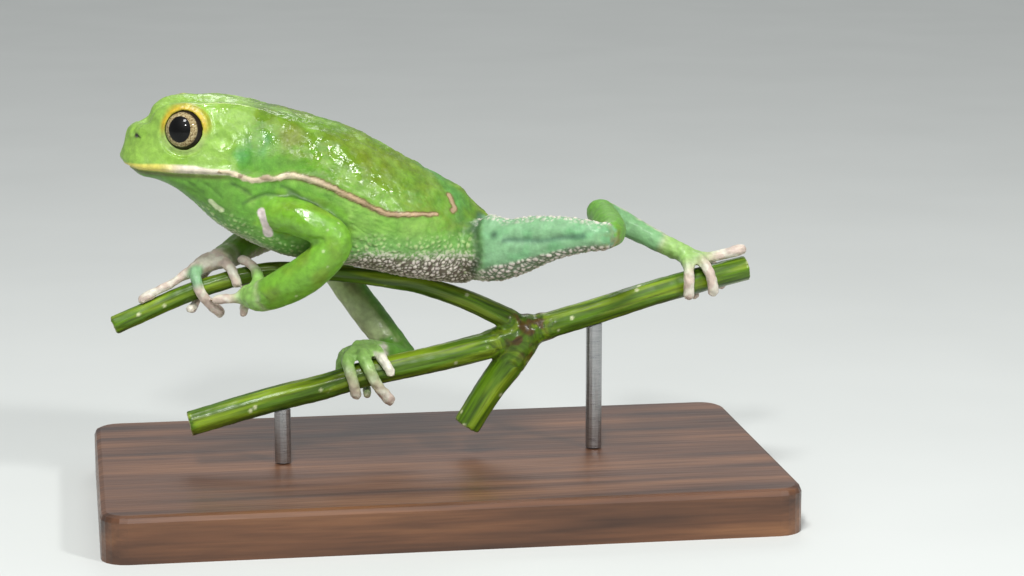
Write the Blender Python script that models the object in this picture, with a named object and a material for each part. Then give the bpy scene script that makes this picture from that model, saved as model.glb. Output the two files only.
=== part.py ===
"""A waxy monkey tree frog, life size, as a still display model that climbs along cut green stems on a
plain wooden stand. Metres, +Z up. The frog faces -X and its left side is -Y. The origin is the middle
of the stand's underside."""

from math import cos, pi, radians, sin

import bmesh
import bpy
import numpy as np
from mathutils import Matrix, Vector

MM = 0.001

# Clearances and mesh fineness
GAP = 0.30 * MM
PERCH_GAP = 0.33 * MM
VOXEL = 0.45 * MM
RING_SIDES = 20
PATH_STEPS = 6
TRUNK_STATIONS = 56
TRUNK_SIDES_PER_RAIL = 5
THINNING_TRIES = 12
THINNING_STEP = 3
MERGE = 0.004 * MM
SCRAP_FACES = 60

# Eyes
EYE_CENTRE = Vector((-47.4, 7.2, 75.5)) * MM
EYE_RADIUS = 4.2 * MM
LID_THICKNESS = 0.8 * MM
LID_OPENING_HEIGHT = 1.95 * MM
LID_OPENING_DEPTH = 5 * MM
LID_OPENING_MARGIN = 0.2 * MM
OPENING_AXIS = Vector((-0.354, 0.922, 0.156)).normalized()

# Trunk rails from snout to rump, as (x, y, z) on the frog's right side, mirrored for the left
CROWN = ((-58.5, 0, 74.2), (-57, 0, 76.2), (-54, 0, 77.2), (-50, 0, 78.2), (-45, 0, 79.0), (-40, 0, 79.3),
         (-35, 0, 79.2), (-30, 0, 78.6), (-20.8, 0, 76.2), (-13.6, 0, 73.4), (-6.3, 0, 69.2), (1, 0, 64.9),
         (6.5, 0, 61.4), (10.4, 0, 56.4))
RIDGE = ((-58.1, 1.6, 74.1), (-56, 3.6, 76.4), (-54, 4.9, 78.3), (-52, 6.0, 79.8), (-49, 6.8, 80.6),
         (-45, 7.1, 80.5), (-40, 7.2, 80.0), (-35, 7.3, 79.0), (-30, 7.5, 77.6), (-20, 8, 73.5),
         (-13, 7.6, 70.5), (-6, 6.8, 66.6), (1, 5.8, 62.3), (6, 4.5, 59.2), (10.2, 2.2, 55))
SIDE = ((-59.1, 1.9, 72), (-57, 4.4, 73), (-54, 6.6, 74), (-50, 8.4, 75), (-45, 9.8, 75), (-41, 10.8, 73.8),
        (-36, 11.2, 73), (-30, 11.2, 72), (-22, 11.6, 68.5), (-13, 12, 64.5), (-6, 11.6, 60.5),
        (1, 10, 56.5), (6, 7.8, 54), (10.2, 3.5, 51.5))
LIP = ((-59.3, 2, 69.8), (-58, 5.2, 69.2), (-54, 8.4, 68.8), (-50, 10.3, 68.4), (-45, 11.6, 67.8),
       (-40, 12.2, 67), (-36, 12.2, 66.6), (-30, 11.6, 66.3), (-20, 12.3, 64.8), (-13, 12.8, 61),
       (-6, 12.4, 57), (1, 10.8, 53.3), (6, 8.6, 51), (10.2, 3.8, 49.5))
LOW = ((-58.7, 1.6, 68.1), (-57, 4.5, 67.3), (-53, 6.8, 66.4), (-49, 8.0, 64.4), (-45, 8.8, 61.5),
       (-40, 9.4, 57.8), (-35, 9.7, 55.6), (-30, 10, 53.5), (-20, 10.6, 51.5), (-13, 10.6, 49.6),
       (-6, 10, 47.6), (1, 8.4, 46), (6, 6.4, 45.2), (10.2, 2.8, 46.8))
KEEL = ((-58.5, 0, 67.9), (-57, 0, 66.8), (-53, 0, 65.7), (-50.6, 0, 64.8), (-46.5, 0, 61.4),
        (-42.6, 0, 57.5), (-37.7, 0, 54.2), (-30.3, 0, 50.8), (-20, 0, 48.9), (-13, 0, 47.6),
        (-6, 0, 46), (1, 0, 44.8), (6, 0, 44.2), (10, 0, 46))
SNOUT_TIP = (-59.7, 0, 70.9)
RUMP_TIP = (11.6, 0, 50.8)

# Raised folds and sunk marks of the skin, as a path on the frog's right side, a height and a width
LIP_FOLD = (((-59.6, 0, 69.7), (-58.0, 5.2, 69.3), (-53.6, 8.8, 69.0), (-48.4, 10.8, 68.7),
             (-42.9, 12.2, 68.4), (-38.8, 12.4, 67.9)), 0.30, 0.8)
FLANK_FOLD = (((-38.8, 12.4, 67.4), (-33.3, 12.2, 66.9), (-26.2, 12, 67), (-22.2, 12, 66),
               (-14.9, 12.4, 62.5), (-7.2, 12.2, 59), (0.1, 10.6, 59.0)), 0.30, 0.8)
PAROTOID = (((-41, 8.0, 79.8), (-36, 8.4, 78.8), (-28, 8.8, 76.6), (-20, 9.2, 73.0)), 0.5, 2.2)
EAR_FOLD = (((-41.2, 10.6, 77.3), (-38.8, 11.2, 76.7), (-37.3, 11.4, 74.6), (-36.9, 11.8, 71.8)), 0.40, 0.9)
NOSTRIL = (-56.7, 2.7, 74.1)
NOSTRIL_RIM_RADIUS = 0.75
NOSTRIL_RIM = (0.22, 0.45)
NOSTRIL_PIT = (-0.75, 0.55)
EAR_CENTRE = (-41.1, 11.0, 73.8)
EAR_RADIUS = 2.0
EAR_RIM = (0.28, 0.55)
EAR_DISH = (-0.25, 1.2)
LID_RIM_RADIUS = 4.7
LID_RIM = (0.22, 0.8)

# Limb lengths from shoulder or hip to wrist or toes' root, as (x, y, z, half width, half height)
LEFT_ARM = ((-33, -8.0, 59.8, 3.5, 3.5), (-29.3, -11.8, 59.7, 3.5, 3.5), (-25, -14.2, 58.4, 3.5, 3.4),
            (-20.6, -15.8, 55.2, 3.3, 3.3), (-22.8, -15.6, 51.6, 3.5, 3.5), (-27, -13.8, 47.9, 3.8, 3.7),
            (-31.4, -11.0, 45.1, 3.5, 3.4), (-34.4, -8.2, 43.4, 2.9, 3.0), (-36.3, -5.7, 43.2, 2.1, 2.3))
RIGHT_ARM = ((-33, 8.0, 59.8, 3.5, 3.5), (-29.0, 12.0, 58.6, 3.5, 3.5), (-26.4, 15.0, 55.8, 3.3, 3.3),
             (-27.6, 15.4, 53.0, 3.3, 3.3), (-31.5, 13.0, 51.8, 3.3, 3.2), (-35.5, 9.8, 50.6, 3.1, 3.1),
             (-39.0, 6.2, 49.3, 2.7, 2.6), (-41.2, 3.2, 48.9, 2.2, 1.9), (-44.0, 1.2, 48.5, 1.9, 1.6),
             (-46.2, 0.1, 47.6, 1.4, 1.3))
LEFT_LEG = ((5.0, -4.0, 50.6, 4.6, 5.2), (10.0, -8.5, 51.2, 4.9, 6.0), (14.2, -12.0, 52.4, 4.2, 5.4),
            (18.8, -15.2, 54.2, 3.4, 4.6), (24.0, -18.8, 55.4, 2.7, 3.5), (29.6, -21.2, 55.6, 2.5, 2.6),
            (32.0, -17.0, 55.6, 2.7, 2.8), (33.0, -8.0, 55.5, 3.0, 3.0), (33.8, 0.0, 55.7, 2.8, 2.8),
            (34.2, 5.2, 55.7, 2.8, 2.7), (38.2, 6.6, 53.6, 2.4, 2.5), (43.4, 6.0, 50.8, 2.1, 2.2),
            (48.0, 4.6, 48.4, 2.2, 2.0), (51.2, 2.8, 47.0, 2.3, 1.7))
RIGHT_LEG = ((5.0, 4.0, 50.6, 4.6, 5.2), (1.5, 10.0, 50.6, 4.8, 5.6), (-5.5, 15.4, 49.8, 4.4, 5.2),
             (-13.0, 18.6, 48.4, 3.7, 4.2), (-18.8, 20.4, 46.4, 3.0, 3.0), (-16.0, 17.8, 41.4, 3.0, 3.1),
             (-11.2, 14.0, 34.8, 3.2, 3.2), (-6.8, 10.4, 29.2, 2.8, 2.9), (-4.6, 8.4, 26.8, 2.4, 2.4),
             (-7.6, 6.8, 28.0, 2.2, 2.2), (-11.4, 3.6, 29.6, 2.3, 1.9), (-14.6, 0.2, 30.3, 2.4, 1.3))

# Digits, as (x, y, z, radius); each hand has four and each foot five
LEFT_FINGERS = (
    ((-34.4, -7.2, 44.6, 1.5), (-34.6, -4.8, 47.2, 1.15), (-35.8, -2.5, 48.8, 1.0), (-37.2, -0.9, 49.3, 1.1)),
    ((-36.4, -5.9, 43.3, 1.5), (-38.8, -5.2, 42.7, 1.05), (-42.3, -4.0, 42.3, 1.05)),
    ((-36.2, -5.6, 42.6, 1.4), (-37.0, -4.0, 41.0, 1.0), (-37.3, -2.8, 39.3, 0.95)),
    ((-35.8, -5.2, 43.0, 1.3), (-36.0, -2.8, 42.5, 1.0), (-36.3, 0.0, 42.6, 1.0), (-36.7, 2.5, 43.9, 1.0),
     (-37.2, 3.4, 46.0, 1.1)),
)
RIGHT_FINGERS = (
    ((-45.6, 0.4, 47.8, 1.3), (-49.0, -0.1, 46.1, 1.0), (-53.2, -0.3, 44.2, 0.95), (-56.3, -0.5, 42.9, 1.1)),
    ((-45.8, 0.2, 47.8, 1.4), (-46.2, -2.6, 46.3, 1.15), (-45.4, -3.3, 43.6, 1.1), (-43.8, -2.1, 41.3, 1.1),
     (-41.7, -1.1, 39.3, 1.25)),
    ((-43.6, 1.8, 48.2, 1.4), (-44.6, 3.7, 45.6, 1.05), (-45.6, 3.0, 42.2, 1.0), (-46.5, 0.8, 40.1, 0.95),
     (-47.3, -1.2, 40.1, 1.0)),
    ((-42.0, 2.0, 48.7, 1.5), (-40.4, -1.0, 48.8, 1.15), (-39.0, -3.0, 47.0, 1.05), (-38.4, -3.2, 45.2, 1.1)),
)
LEFT_TOES = (
    ((50.4, 3.2, 47.2, 1.5), (50.6, -0.6, 45.9, 1.2), (50.4, -2.7, 42.9, 1.1), (50.4, -2.4, 40.0, 1.2)),
    ((51.2, 2.9, 47.0, 1.5), (53.4, -0.8, 46.4, 1.2), (54.8, -2.6, 43.6, 1.1), (55.4, -2.5, 40.6, 1.2)),
    ((51.4, 2.6, 47.0, 1.5), (54.6, 1.5, 46.7, 1.2), (58.4, 1.4, 47.3, 1.1), (61.8, 1.7, 48.1, 1.25)),
    ((51.2, 3.4, 47.0, 1.5), (54.6, 4.6, 46.0, 1.2), (57.6, 5.8, 43.6, 1.1), (58.6, 5.0, 40.5, 1.2)),
    ((50.6, 3.8, 47.0, 1.5), (51.8, 5.3, 44.6, 1.15), (52.6, 5.2, 41.6, 1.05), (52.8, 3.3, 38.9, 1.15)),
)
RIGHT_TOES = (
    ((-14.8, 0.0, 30.4, 1.5), (-17.2, -2.6, 29.9, 1.3), (-17.2, -5.5, 27.9, 1.2), (-16.4, -5.8, 25.2, 1.15),
     (-15.9, -4.8, 22.8, 1.2)),
    ((-14.0, 0.0, 30.4, 1.5), (-14.2, -3.4, 30.2, 1.4), (-13.4, -5.7, 28.0, 1.3), (-11.6, -5.6, 24.4, 1.2),
     (-9.3, -4.4, 21.4, 1.25)),
    ((-12.6, 1.6, 30.4, 1.4), (-11.3, -1.6, 30.7, 1.15), (-10.5, -4.4, 29.5, 1.05), (-9.2, -5.6, 27.2, 1.1)),
    ((-15.0, 1.4, 30.2, 1.4), (-17.4, 2.6, 29.3, 1.15), (-18.2, 3.1, 26.8, 1.0), (-18.2, 1.9, 23.2, 1.1)),
    ((-12.4, 3.0, 29.6, 1.3), (-12.8, 3.3, 27.0, 1.0), (-13.1, 1.6, 23.2, 0.9), (-13.4, -2.0, 22.2, 0.95)),
)

# Where limbs are parted: a point on the joint, its cutting plane's normal and the cutting disc's radius
ELBOW_LEFT = ((-21.2, -15.5, 54.8), (-0.09, 0.06, 0.99), 6.2)
WRIST_LEFT = ((-33.6, -9.0, 44.2), (-0.72, 0.60, -0.36), 4.6)
ELBOW_RIGHT = ((-28.6, 14.0, 54.9), (-0.36, 0.16, -0.92), 6.6)
WRIST_RIGHT = ((-39.4, 5.8, 49.2), (-0.70, -0.66, -0.26), 4.6)
KNEE_LEFT = ((30.6, -20.8, 55.6), (0.75, 0.66, 0.0), 5.0)
HEEL_LEFT = ((35.2, 5.6, 55.0), (0.80, 0.55, -0.22), 4.6)
ANKLE_LEFT = ((46.6, 5.1, 49.1), (0.86, -0.25, -0.44), 4.2)
KNEE_RIGHT = ((-18.4, 20.0, 45.2), (-0.30, -0.05, -0.95), 5.4)
HEEL_RIGHT = ((-6.4, 8.4, 28.2), (0.31, 0.93, 0.20), 4.6)
ANKLE_RIGHT = ((-10.2, 4.7, 29.2), (-0.65, -0.62, 0.42), 4.0)
LEFT_LEG_JOINTS = (KNEE_LEFT, HEEL_LEFT, ANKLE_LEFT)
RIGHT_LEG_JOINTS = (KNEE_RIGHT, HEEL_RIGHT, ANKLE_RIGHT)
LEFT_LEG_MIDDLES = (2, 7, 11)
RIGHT_LEG_MIDDLES = (2, 6, 9)

# Mouth, neck and jaw partings on the head
MOUTH_FRONT = (-60.6, 0, 68.2)
MOUTH_CORNER = (-39.5, 0, 67.6)
NECK_TOP = (-33.5, 0, 84)
THROAT = (-48.2, 0, 59.5)
SLAB_REACH = 0.3
SLAB_HALF_WIDTH = 20

# Stems of the perch, as (x, y, z, radius)
UPPER_STEM = ((-62, 0, 37.0, 1.75), (-58.6, 0, 38.4, 1.75), (-51.8, 0, 41.3, 1.75), (-46.9, 0, 43.2, 1.75),
              (-41.8, 0, 44.7, 1.75), (-36.8, 0, 46.0, 1.7), (-31.3, 0, 46.9, 1.65), (-23.1, 0, 46.5, 1.6),
              (-15.0, 0, 45.4, 1.6), (-8.3, 0, 44.3, 1.65), (-2.2, 0, 43.1, 1.75), (6.5, 0, 39.9, 1.9),
              (14.0, 0, 36.2, 2.1))
LOWER_BRANCH = ((-48.0, -2, 17.6, 2.4), (-45.5, -2, 18.2, 2.4), (-32.3, -2, 21.7, 2.45),
                (-21.7, -1.6, 23.9, 2.5), (-13.3, -1.5, 26.2, 2.55), (0.7, -1, 28.7, 2.6),
                (10.3, -0.3, 30.6, 2.7))
RIGHT_BRANCH = ((23.6, 0, 34.5, 2.6), (32.1, 0.5, 36.7, 2.55), (42.7, 1.0, 39.6, 2.5),
                (54.3, 1.5, 42.4, 2.45), (63.1, 2.0, 44.3, 2.45))
LEAF_STALK = ((14.7, 0, 26.8, 3.1), (11.0, 0, 21.8, 2.8), (6.4, 0, 14.6, 2.7))
FORK_CENTRE = (18.4, 0, 33.2)
FORK_RADIUS = 3.4
FORK_SWELL = 0.3
STEM_SIDES = 14
FORK_TRIANGLES = 420

# Stand
BASE_SIZE = (132, 74, 9)
BASE_CORNER = 5
BASE_EDGE = 1.2
ROD_RADIUS = 1.6
ROD_TRIANGLES = 200
FRONT_ROD_TOP = (-30.0, -1.95, 22)
REAR_ROD_TOP = (32.0, 0.5, 37)

# Triangles kept for each node after the fine surface is thinned out
TRIANGLES = {
    "head": 3400, "lower_jaw": 460, "torso": 2000,
    "upper_arm": 260, "forearm": 300, "hand": 780,
    "thigh": 420, "shank": 300, "tarsus": 200, "foot": 780,
}

# Colours, as linear RGB, with roughness and metallic value
SKIN = ((0.20, 0.42, 0.08), 0.35, 0.0)
PALE_SKIN = ((0.42, 0.38, 0.33), 0.5, 0.0)
EYE = ((0.03, 0.025, 0.02), 0.1, 0.0)
STEM = ((0.10, 0.20, 0.02), 0.4, 0.0)
WOOD = ((0.16, 0.09, 0.05), 0.5, 0.0)
STEEL = ((0.55, 0.55, 0.56), 0.3, 1.0)


def remove_everything():
    """Empty the scene that the script starts in."""
    for item in list(bpy.data.objects):
        bpy.data.objects.remove(item, do_unlink=True)


def material(name, look):
    """A Principled material from (colour, roughness, metallic)."""
    colour, roughness, metallic = look
    made = bpy.data.materials.new(name)
    made.use_nodes = True
    shader = made.node_tree.nodes["Principled BSDF"]
    shader.inputs["Base Color"].default_value = (*colour, 1.0)
    shader.inputs["Roughness"].default_value = roughness
    shader.inputs["Metallic"].default_value = metallic
    return made


def add_object(name, mesh):
    """Link a mesh as an object of that name."""
    made = bpy.data.objects.new(name, mesh)
    bpy.context.scene.collection.objects.link(made)
    return made


def bake(thing, kind, **settings):
    """Apply one modifier of the given kind to an object's mesh."""
    modifier = thing.modifiers.new(kind, kind)
    for key, value in settings.items():
        setattr(modifier, key, value)
    graph = bpy.context.evaluated_depsgraph_get()
    mesh = bpy.data.meshes.new_from_object(thing.evaluated_get(graph))
    thing.modifiers.clear()
    old = thing.data
    thing.data = mesh
    bpy.data.meshes.remove(old)
    return thing


def catmull_rom(points, steps, closed=False):
    """Points of a smooth curve through the given rows, steps to each span."""
    rows = np.array(points, dtype=float)
    if closed:
        padded = np.vstack([rows[-1], rows, rows[0], rows[1]])
    else:
        padded = np.vstack([2 * rows[0] - rows[1], rows, 2 * rows[-1] - rows[-2]])
    curve = []
    for index in range(1, len(padded) - 2):
        before, start, end, after = padded[index - 1:index + 3]
        knots = [0.0]
        for one, two in ((before, start), (start, end), (end, after)):
            knots.append(knots[-1] + max(np.linalg.norm(two[:3] - one[:3]), 1e-6) ** 0.5)
        for step in range(steps):
            t = knots[1] + (knots[2] - knots[1]) * step / steps
            curve.append(barry_goldman((before, start, end, after), knots, t))
    if not closed:
        curve.append(rows[-1])
    return np.array(curve)


def barry_goldman(rows, knots, t):
    """One point of a centripetal Catmull-Rom span, by repeated blending of its four rows."""
    def blend(one, two, start, end):
        return ((end - t) * one + (t - start) * two) / (end - start)

    first = [blend(rows[i], rows[i + 1], knots[i], knots[i + 1]) for i in range(3)]
    second = [blend(first[i], first[i + 1], knots[i], knots[i + 2]) for i in range(2)]
    return blend(second[0], second[1], knots[1], knots[2])


def mesh_from_rings(rings, first_tip, last_tip, name="rings"):
    """A closed mesh over rings of points, ended by a fan to each tip."""
    count = len(rings[0])
    mesh = bmesh.new()
    verts = [[mesh.verts.new(point) for point in ring] for ring in rings]
    for one, two in zip(verts, verts[1:]):
        for index in range(count):
            after = (index + 1) % count
            mesh.faces.new((one[index], one[after], two[after], two[index]))
    for ring, tip in ((verts[0], first_tip), (verts[-1], last_tip)):
        end = mesh.verts.new(tip)
        for index in range(count):
            mesh.faces.new((ring[index], ring[(index + 1) % count], end))
    bmesh.ops.recalc_face_normals(mesh, faces=mesh.faces)
    made = bpy.data.meshes.new(name)
    mesh.to_mesh(made)
    mesh.free()
    return made


def frames_along(path, up):
    """For each point of a path its tangent, side and upright directions."""
    tangents = np.gradient(path, axis=0)
    tangents /= np.linalg.norm(tangents, axis=1)[:, None]
    frames = []
    upright = np.array(up, dtype=float)
    for tangent in tangents:
        upright = upright - tangent * np.dot(upright, tangent)
        upright /= np.linalg.norm(upright)
        frames.append((tangent, np.cross(tangent, upright), upright.copy()))
    return frames


def sweep(rows, name="sweep", sides=RING_SIDES, steps=PATH_STEPS, rounded=True, up=(0, 0, 1)):
    """A closed tube along rows of (x, y, z, half width[, half height]) in millimetres."""
    full = [row if len(row) == 5 else (*row, row[3]) for row in rows]
    curve = catmull_rom(full, steps) * MM
    frames = frames_along(curve[:, :3], up)
    rings = []
    angles = [2 * pi * index / sides for index in range(sides)]
    stations = [(curve[i, :3], curve[i, 3], curve[i, 4], frames[i]) for i in range(len(curve))]
    if rounded:
        stations = rounded_end(stations[0], -1) + stations + rounded_end(stations[-1], 1)
    for centre, width, height, (tangent, side, upright) in stations:
        rings.append([Vector(centre + side * width * cos(a) + upright * height * sin(a)) for a in angles])
    first, last = stations[0], stations[-1]
    return mesh_from_rings(rings, Vector(first[0]), Vector(last[0]), name)


def rounded_end(station, direction):
    """Shrinking stations that round off one end of a tube."""
    centre, width, height, frame = station
    reach = (width + height) / 2
    ends = []
    for angle in (radians(25), radians(50), radians(75)):
        moved = centre + frame[0] * reach * sin(angle) * direction
        ends.append((moved, width * cos(angle), height * cos(angle), frame))
    return ends if direction > 0 else ends[::-1]


def rail_point(rail, share):
    """The point of a rail at a share of its length along x, in metres."""
    rows = np.array(rail, dtype=float)
    x = rows[0, 0] + (rows[-1, 0] - rows[0, 0]) * share
    slopes = np.gradient(rows[:, 1:], rows[:, 0], axis=0)
    index = int(np.clip(np.searchsorted(rows[:, 0], x) - 1, 0, len(rows) - 2))
    width = rows[index + 1, 0] - rows[index, 0]
    t = (x - rows[index, 0]) / width
    here, there = rows[index, 1:], rows[index + 1, 1:]
    lean_here, lean_there = slopes[index] * width, slopes[index + 1] * width
    value = ((2 * t ** 3 - 3 * t ** 2 + 1) * here + (t ** 3 - 2 * t ** 2 + t) * lean_here
             + (3 * t ** 2 - 2 * t ** 3) * there + (t ** 3 - t ** 2) * lean_there)
    return np.array((x, *value)) * MM


def trunk_mesh():
    """Head and body in one closed surface, lofted over the rails."""
    rings = []
    for station in range(TRUNK_STATIONS):
        share = 0.5 - 0.5 * cos(pi * station / (TRUNK_STATIONS - 1))
        right = [rail_point(rail, share) for rail in (CROWN, RIDGE, SIDE, LIP, LOW, KEEL)]
        left = [point * np.array((1, -1, 1)) for point in right[1:-1]]
        outline = right + left[::-1]
        rings.append([Vector(point) for point in catmull_rom(outline, TRUNK_SIDES_PER_RAIL, closed=True)])
    return mesh_from_rings(rings, Vector(SNOUT_TIP) * MM, Vector(RUMP_TIP) * MM, "trunk")


def ball(centre, radius, name="ball", segments=32, rings=20):
    """A closed sphere, in metres."""
    mesh = bmesh.new()
    bmesh.ops.create_uvsphere(mesh, u_segments=segments, v_segments=rings, radius=radius)
    bmesh.ops.translate(mesh, verts=mesh.verts, vec=Vector(centre))
    made = bpy.data.meshes.new(name)
    mesh.to_mesh(made)
    mesh.free()
    return made


def mirrored(point, side):
    """A point or direction on the given side, -1 for left and 1 for right."""
    return Vector((point[0], point[1] * side, point[2]))


def fuse(meshes, name, voxel=VOXEL, smoothing=4):
    """One smooth closed surface round overlapping closed meshes."""
    joined = bmesh.new()
    for mesh in meshes:
        joined.from_mesh(mesh)
    data = bpy.data.meshes.new(name)
    joined.to_mesh(data)
    joined.free()
    thing = add_object(name, data)
    bake(thing, "REMESH", mode="VOXEL", voxel_size=voxel, adaptivity=0.0)
    if smoothing:
        bake(thing, "SMOOTH", factor=0.5, iterations=smoothing)
    return thing


def copy_of(thing, name):
    """A separate object with its own mesh."""
    return add_object(name, thing.data.copy())


def inflated(thing, distance, name="inflated"):
    """A copy of a body, grown by a distance all round."""
    made = copy_of(thing, name)
    bake(made, "DISPLACE", strength=distance, mid_level=0.0)
    return bake(made, "REMESH", mode="VOXEL", voxel_size=VOXEL, adaptivity=0.0)


def boolean(thing, other, operation="DIFFERENCE", keep=False, solver="MANIFOLD"):
    """Combine one body with another, and drop the other unless it is kept."""
    bake(thing, "BOOLEAN", object=other, operation=operation, solver=solver)
    if not keep:
        bpy.data.objects.remove(other, do_unlink=True)
    return thing


def loose_bodies(thing):
    """The separate closed bodies of an object, largest first, as lists of face indices."""
    mesh = bmesh.new()
    mesh.from_mesh(thing.data)
    mesh.faces.ensure_lookup_table()
    left = set(range(len(mesh.faces)))
    bodies = []
    while left:
        start = left.pop()
        body, queue = [start], [start]
        while queue:
            face = mesh.faces[queue.pop()]
            for edge in face.edges:
                for other in edge.link_faces:
                    if other.index in left:
                        left.discard(other.index)
                        body.append(other.index)
                        queue.append(other.index)
        bodies.append(body)
    mesh.free()
    return sorted(bodies, key=len, reverse=True)


def keep_faces(thing, faces, name):
    """A new object made of some faces of another."""
    wanted = set(faces)
    mesh = bmesh.new()
    mesh.from_mesh(thing.data)
    mesh.faces.ensure_lookup_table()
    spare = [face for face in mesh.faces if face.index not in wanted]
    bmesh.ops.delete(mesh, geom=spare, context="FACES")
    data = bpy.data.meshes.new(name)
    mesh.to_mesh(data)
    mesh.free()
    return add_object(name, data)


def keep_largest(thing):
    """Drop every scrap but the largest closed body."""
    name = thing.name
    bodies = loose_bodies(thing)
    if len(bodies) == 1:
        return thing
    kept = keep_faces(thing, bodies[0], name + "_kept")
    bpy.data.objects.remove(thing, do_unlink=True)
    kept.name = name
    return kept


def part_by_seeds(thing, seeds):
    """Split an object into its closed bodies and name each after the seed point nearest to it."""
    bodies = [body for body in loose_bodies(thing) if len(body) > SCRAP_FACES]
    mesh = thing.data
    centres = np.empty(len(mesh.polygons) * 3)
    mesh.polygons.foreach_get("center", centres)
    centres = centres.reshape(-1, 3)
    named = {}
    for name, seed in seeds.items():
        point = np.array(seed) * MM
        nearest = min(bodies, key=lambda body: np.linalg.norm(centres[body] - point, axis=1).min())
        bodies.remove(nearest)
        named[name] = keep_faces(thing, nearest, name)
    bpy.data.objects.remove(thing, do_unlink=True)
    return named


def thin_slab(corner_points, name="slab"):
    """A slab as thick as the gap between nodes, over a planar outline of (x, y, z) in millimetres."""
    points = [Vector(point) * MM for point in corner_points]
    normal = (points[1] - points[0]).cross(points[2] - points[0]).normalized() * (GAP / 2)
    mesh = bmesh.new()
    top = [mesh.verts.new(point + normal) for point in points]
    low = [mesh.verts.new(point - normal) for point in points]
    mesh.faces.new(top)
    mesh.faces.new(low[::-1])
    for index in range(len(points)):
        after = (index + 1) % len(points)
        mesh.faces.new((top[index], low[index], low[after], top[after]))
    bmesh.ops.recalc_face_normals(mesh, faces=mesh.faces)
    data = bpy.data.meshes.new(name)
    mesh.to_mesh(data)
    mesh.free()
    return add_object(name, data)


def cut_disc(joint):
    """A disc as thick as the gap, across a limb at one joint."""
    point, normal, radius = joint
    mesh = bmesh.new()
    bmesh.ops.create_cone(mesh, cap_ends=True, segments=32, radius1=radius * MM, radius2=radius * MM,
                          depth=GAP)
    turn = Vector(normal).to_track_quat("Z", "Y").to_matrix().to_4x4()
    bmesh.ops.transform(mesh, matrix=Matrix.Translation(Vector(point) * MM) @ turn, verts=mesh.verts)
    data = bpy.data.meshes.new("disc")
    mesh.to_mesh(data)
    mesh.free()
    return add_object("disc", data)


def open_edges(mesh):
    """How many edges of a mesh don't join exactly two faces."""
    test = bmesh.new()
    test.from_mesh(mesh)
    count = sum(len(edge.link_faces) != 2 for edge in test.edges)
    test.free()
    return count


def without_slivers(thing):
    """Merge vertices closer than any real detail, and collapse the short edges that four faces share."""
    mesh = bmesh.new()
    mesh.from_mesh(thing.data)
    bmesh.ops.remove_doubles(mesh, verts=mesh.verts, dist=MERGE)
    bmesh.ops.triangulate(mesh, faces=mesh.faces)
    shared = [edge for edge in mesh.edges if len(edge.link_faces) > 2]
    while shared:
        bmesh.ops.collapse(mesh, edges=shared)
        bmesh.ops.dissolve_degenerate(mesh, edges=mesh.edges, dist=MERGE / 4)
        shared = [edge for edge in mesh.edges if len(edge.link_faces) > 2]
    bmesh.ops.delete(mesh, geom=[edge for edge in mesh.edges if not edge.link_faces], context="EDGES")
    bmesh.ops.delete(mesh, geom=[vert for vert in mesh.verts if not vert.link_edges], context="VERTS")
    mesh.to_mesh(thing.data)
    mesh.free()
    return thing


def thinned(thing, triangles):
    """Reduce an object to about so many triangles, a few more where it wouldn't stay closed."""
    without_slivers(thing)
    count = len(thing.data.polygons)
    for attempt in range(THINNING_TRIES):
        share = min((triangles + attempt * THINNING_STEP) / count, 1.0)
        trial = copy_of(thing, thing.name + "_thinned")
        bake(trial, "DECIMATE", decimate_type="COLLAPSE", ratio=share, use_collapse_triangulate=True)
        trial = keep_largest(trial)
        if open_edges(trial.data) == 0 or attempt == THINNING_TRIES - 1:
            break
        bpy.data.objects.remove(trial, do_unlink=True)
    name = thing.name
    bpy.data.objects.remove(thing, do_unlink=True)
    trial.name = name
    return trial


def lid_ball(side):
    """The round lid over one eye."""
    return ball(mirrored(EYE_CENTRE, side), EYE_RADIUS + LID_THICKNESS)


def eye_socket(side):
    """The hollow that one eyeball sits in."""
    return add_object("socket", ball(mirrored(EYE_CENTRE, side), EYE_RADIUS + GAP, segments=24, rings=16))


def lid_opening(side):
    """A short drum that opens the lid in front of one eye."""
    axis = mirrored(OPENING_AXIS, side)
    radius = EYE_RADIUS + LID_THICKNESS + LID_OPENING_MARGIN
    mesh = bmesh.new()
    bmesh.ops.create_cone(mesh, cap_ends=True, segments=32, radius1=radius, radius2=radius,
                          depth=LID_OPENING_DEPTH)
    centre = mirrored(EYE_CENTRE, side) + axis * (LID_OPENING_HEIGHT + LID_OPENING_DEPTH / 2)
    turn = axis.to_track_quat("Z", "Y").to_matrix().to_4x4()
    bmesh.ops.transform(mesh, matrix=Matrix.Translation(centre) @ turn, verts=mesh.verts)
    data = bpy.data.meshes.new("opening")
    mesh.to_mesh(data)
    mesh.free()
    return add_object("opening", data)


def vertex_array(mesh):
    """All vertices of a mesh as rows, in metres."""
    flat = np.empty(len(mesh.vertices) * 3)
    mesh.vertices.foreach_get("co", flat)
    return flat.reshape(-1, 3)


def brush(thing, path, height, width):
    """Push a surface out, or in, along a path in metres that is first snapped onto it."""
    mesh = thing.data
    points = vertex_array(mesh)
    normals = np.array([vertex.normal for vertex in mesh.vertices])
    nearest = [points[np.argmin(np.linalg.norm(points - point, axis=1))] for point in path]
    distance = np.full(len(points), np.inf)
    for point in nearest:
        distance = np.minimum(distance, np.linalg.norm(points - point, axis=1))
    push = height * MM * np.exp(-(distance / (width * MM)) ** 2)
    mesh.vertices.foreach_set("co", (points + normals * push[:, None]).ravel())
    mesh.update()


def ring_path(centre, axis, radius, count=40):
    """Points round a circle, in metres."""
    turn = Vector(axis).to_track_quat("Z", "Y")
    angles = [2 * pi * index / count for index in range(count)]
    return [np.array(Vector(centre) + turn @ (Vector((cos(a), sin(a), 0)) * radius * MM)) for a in angles]


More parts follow.
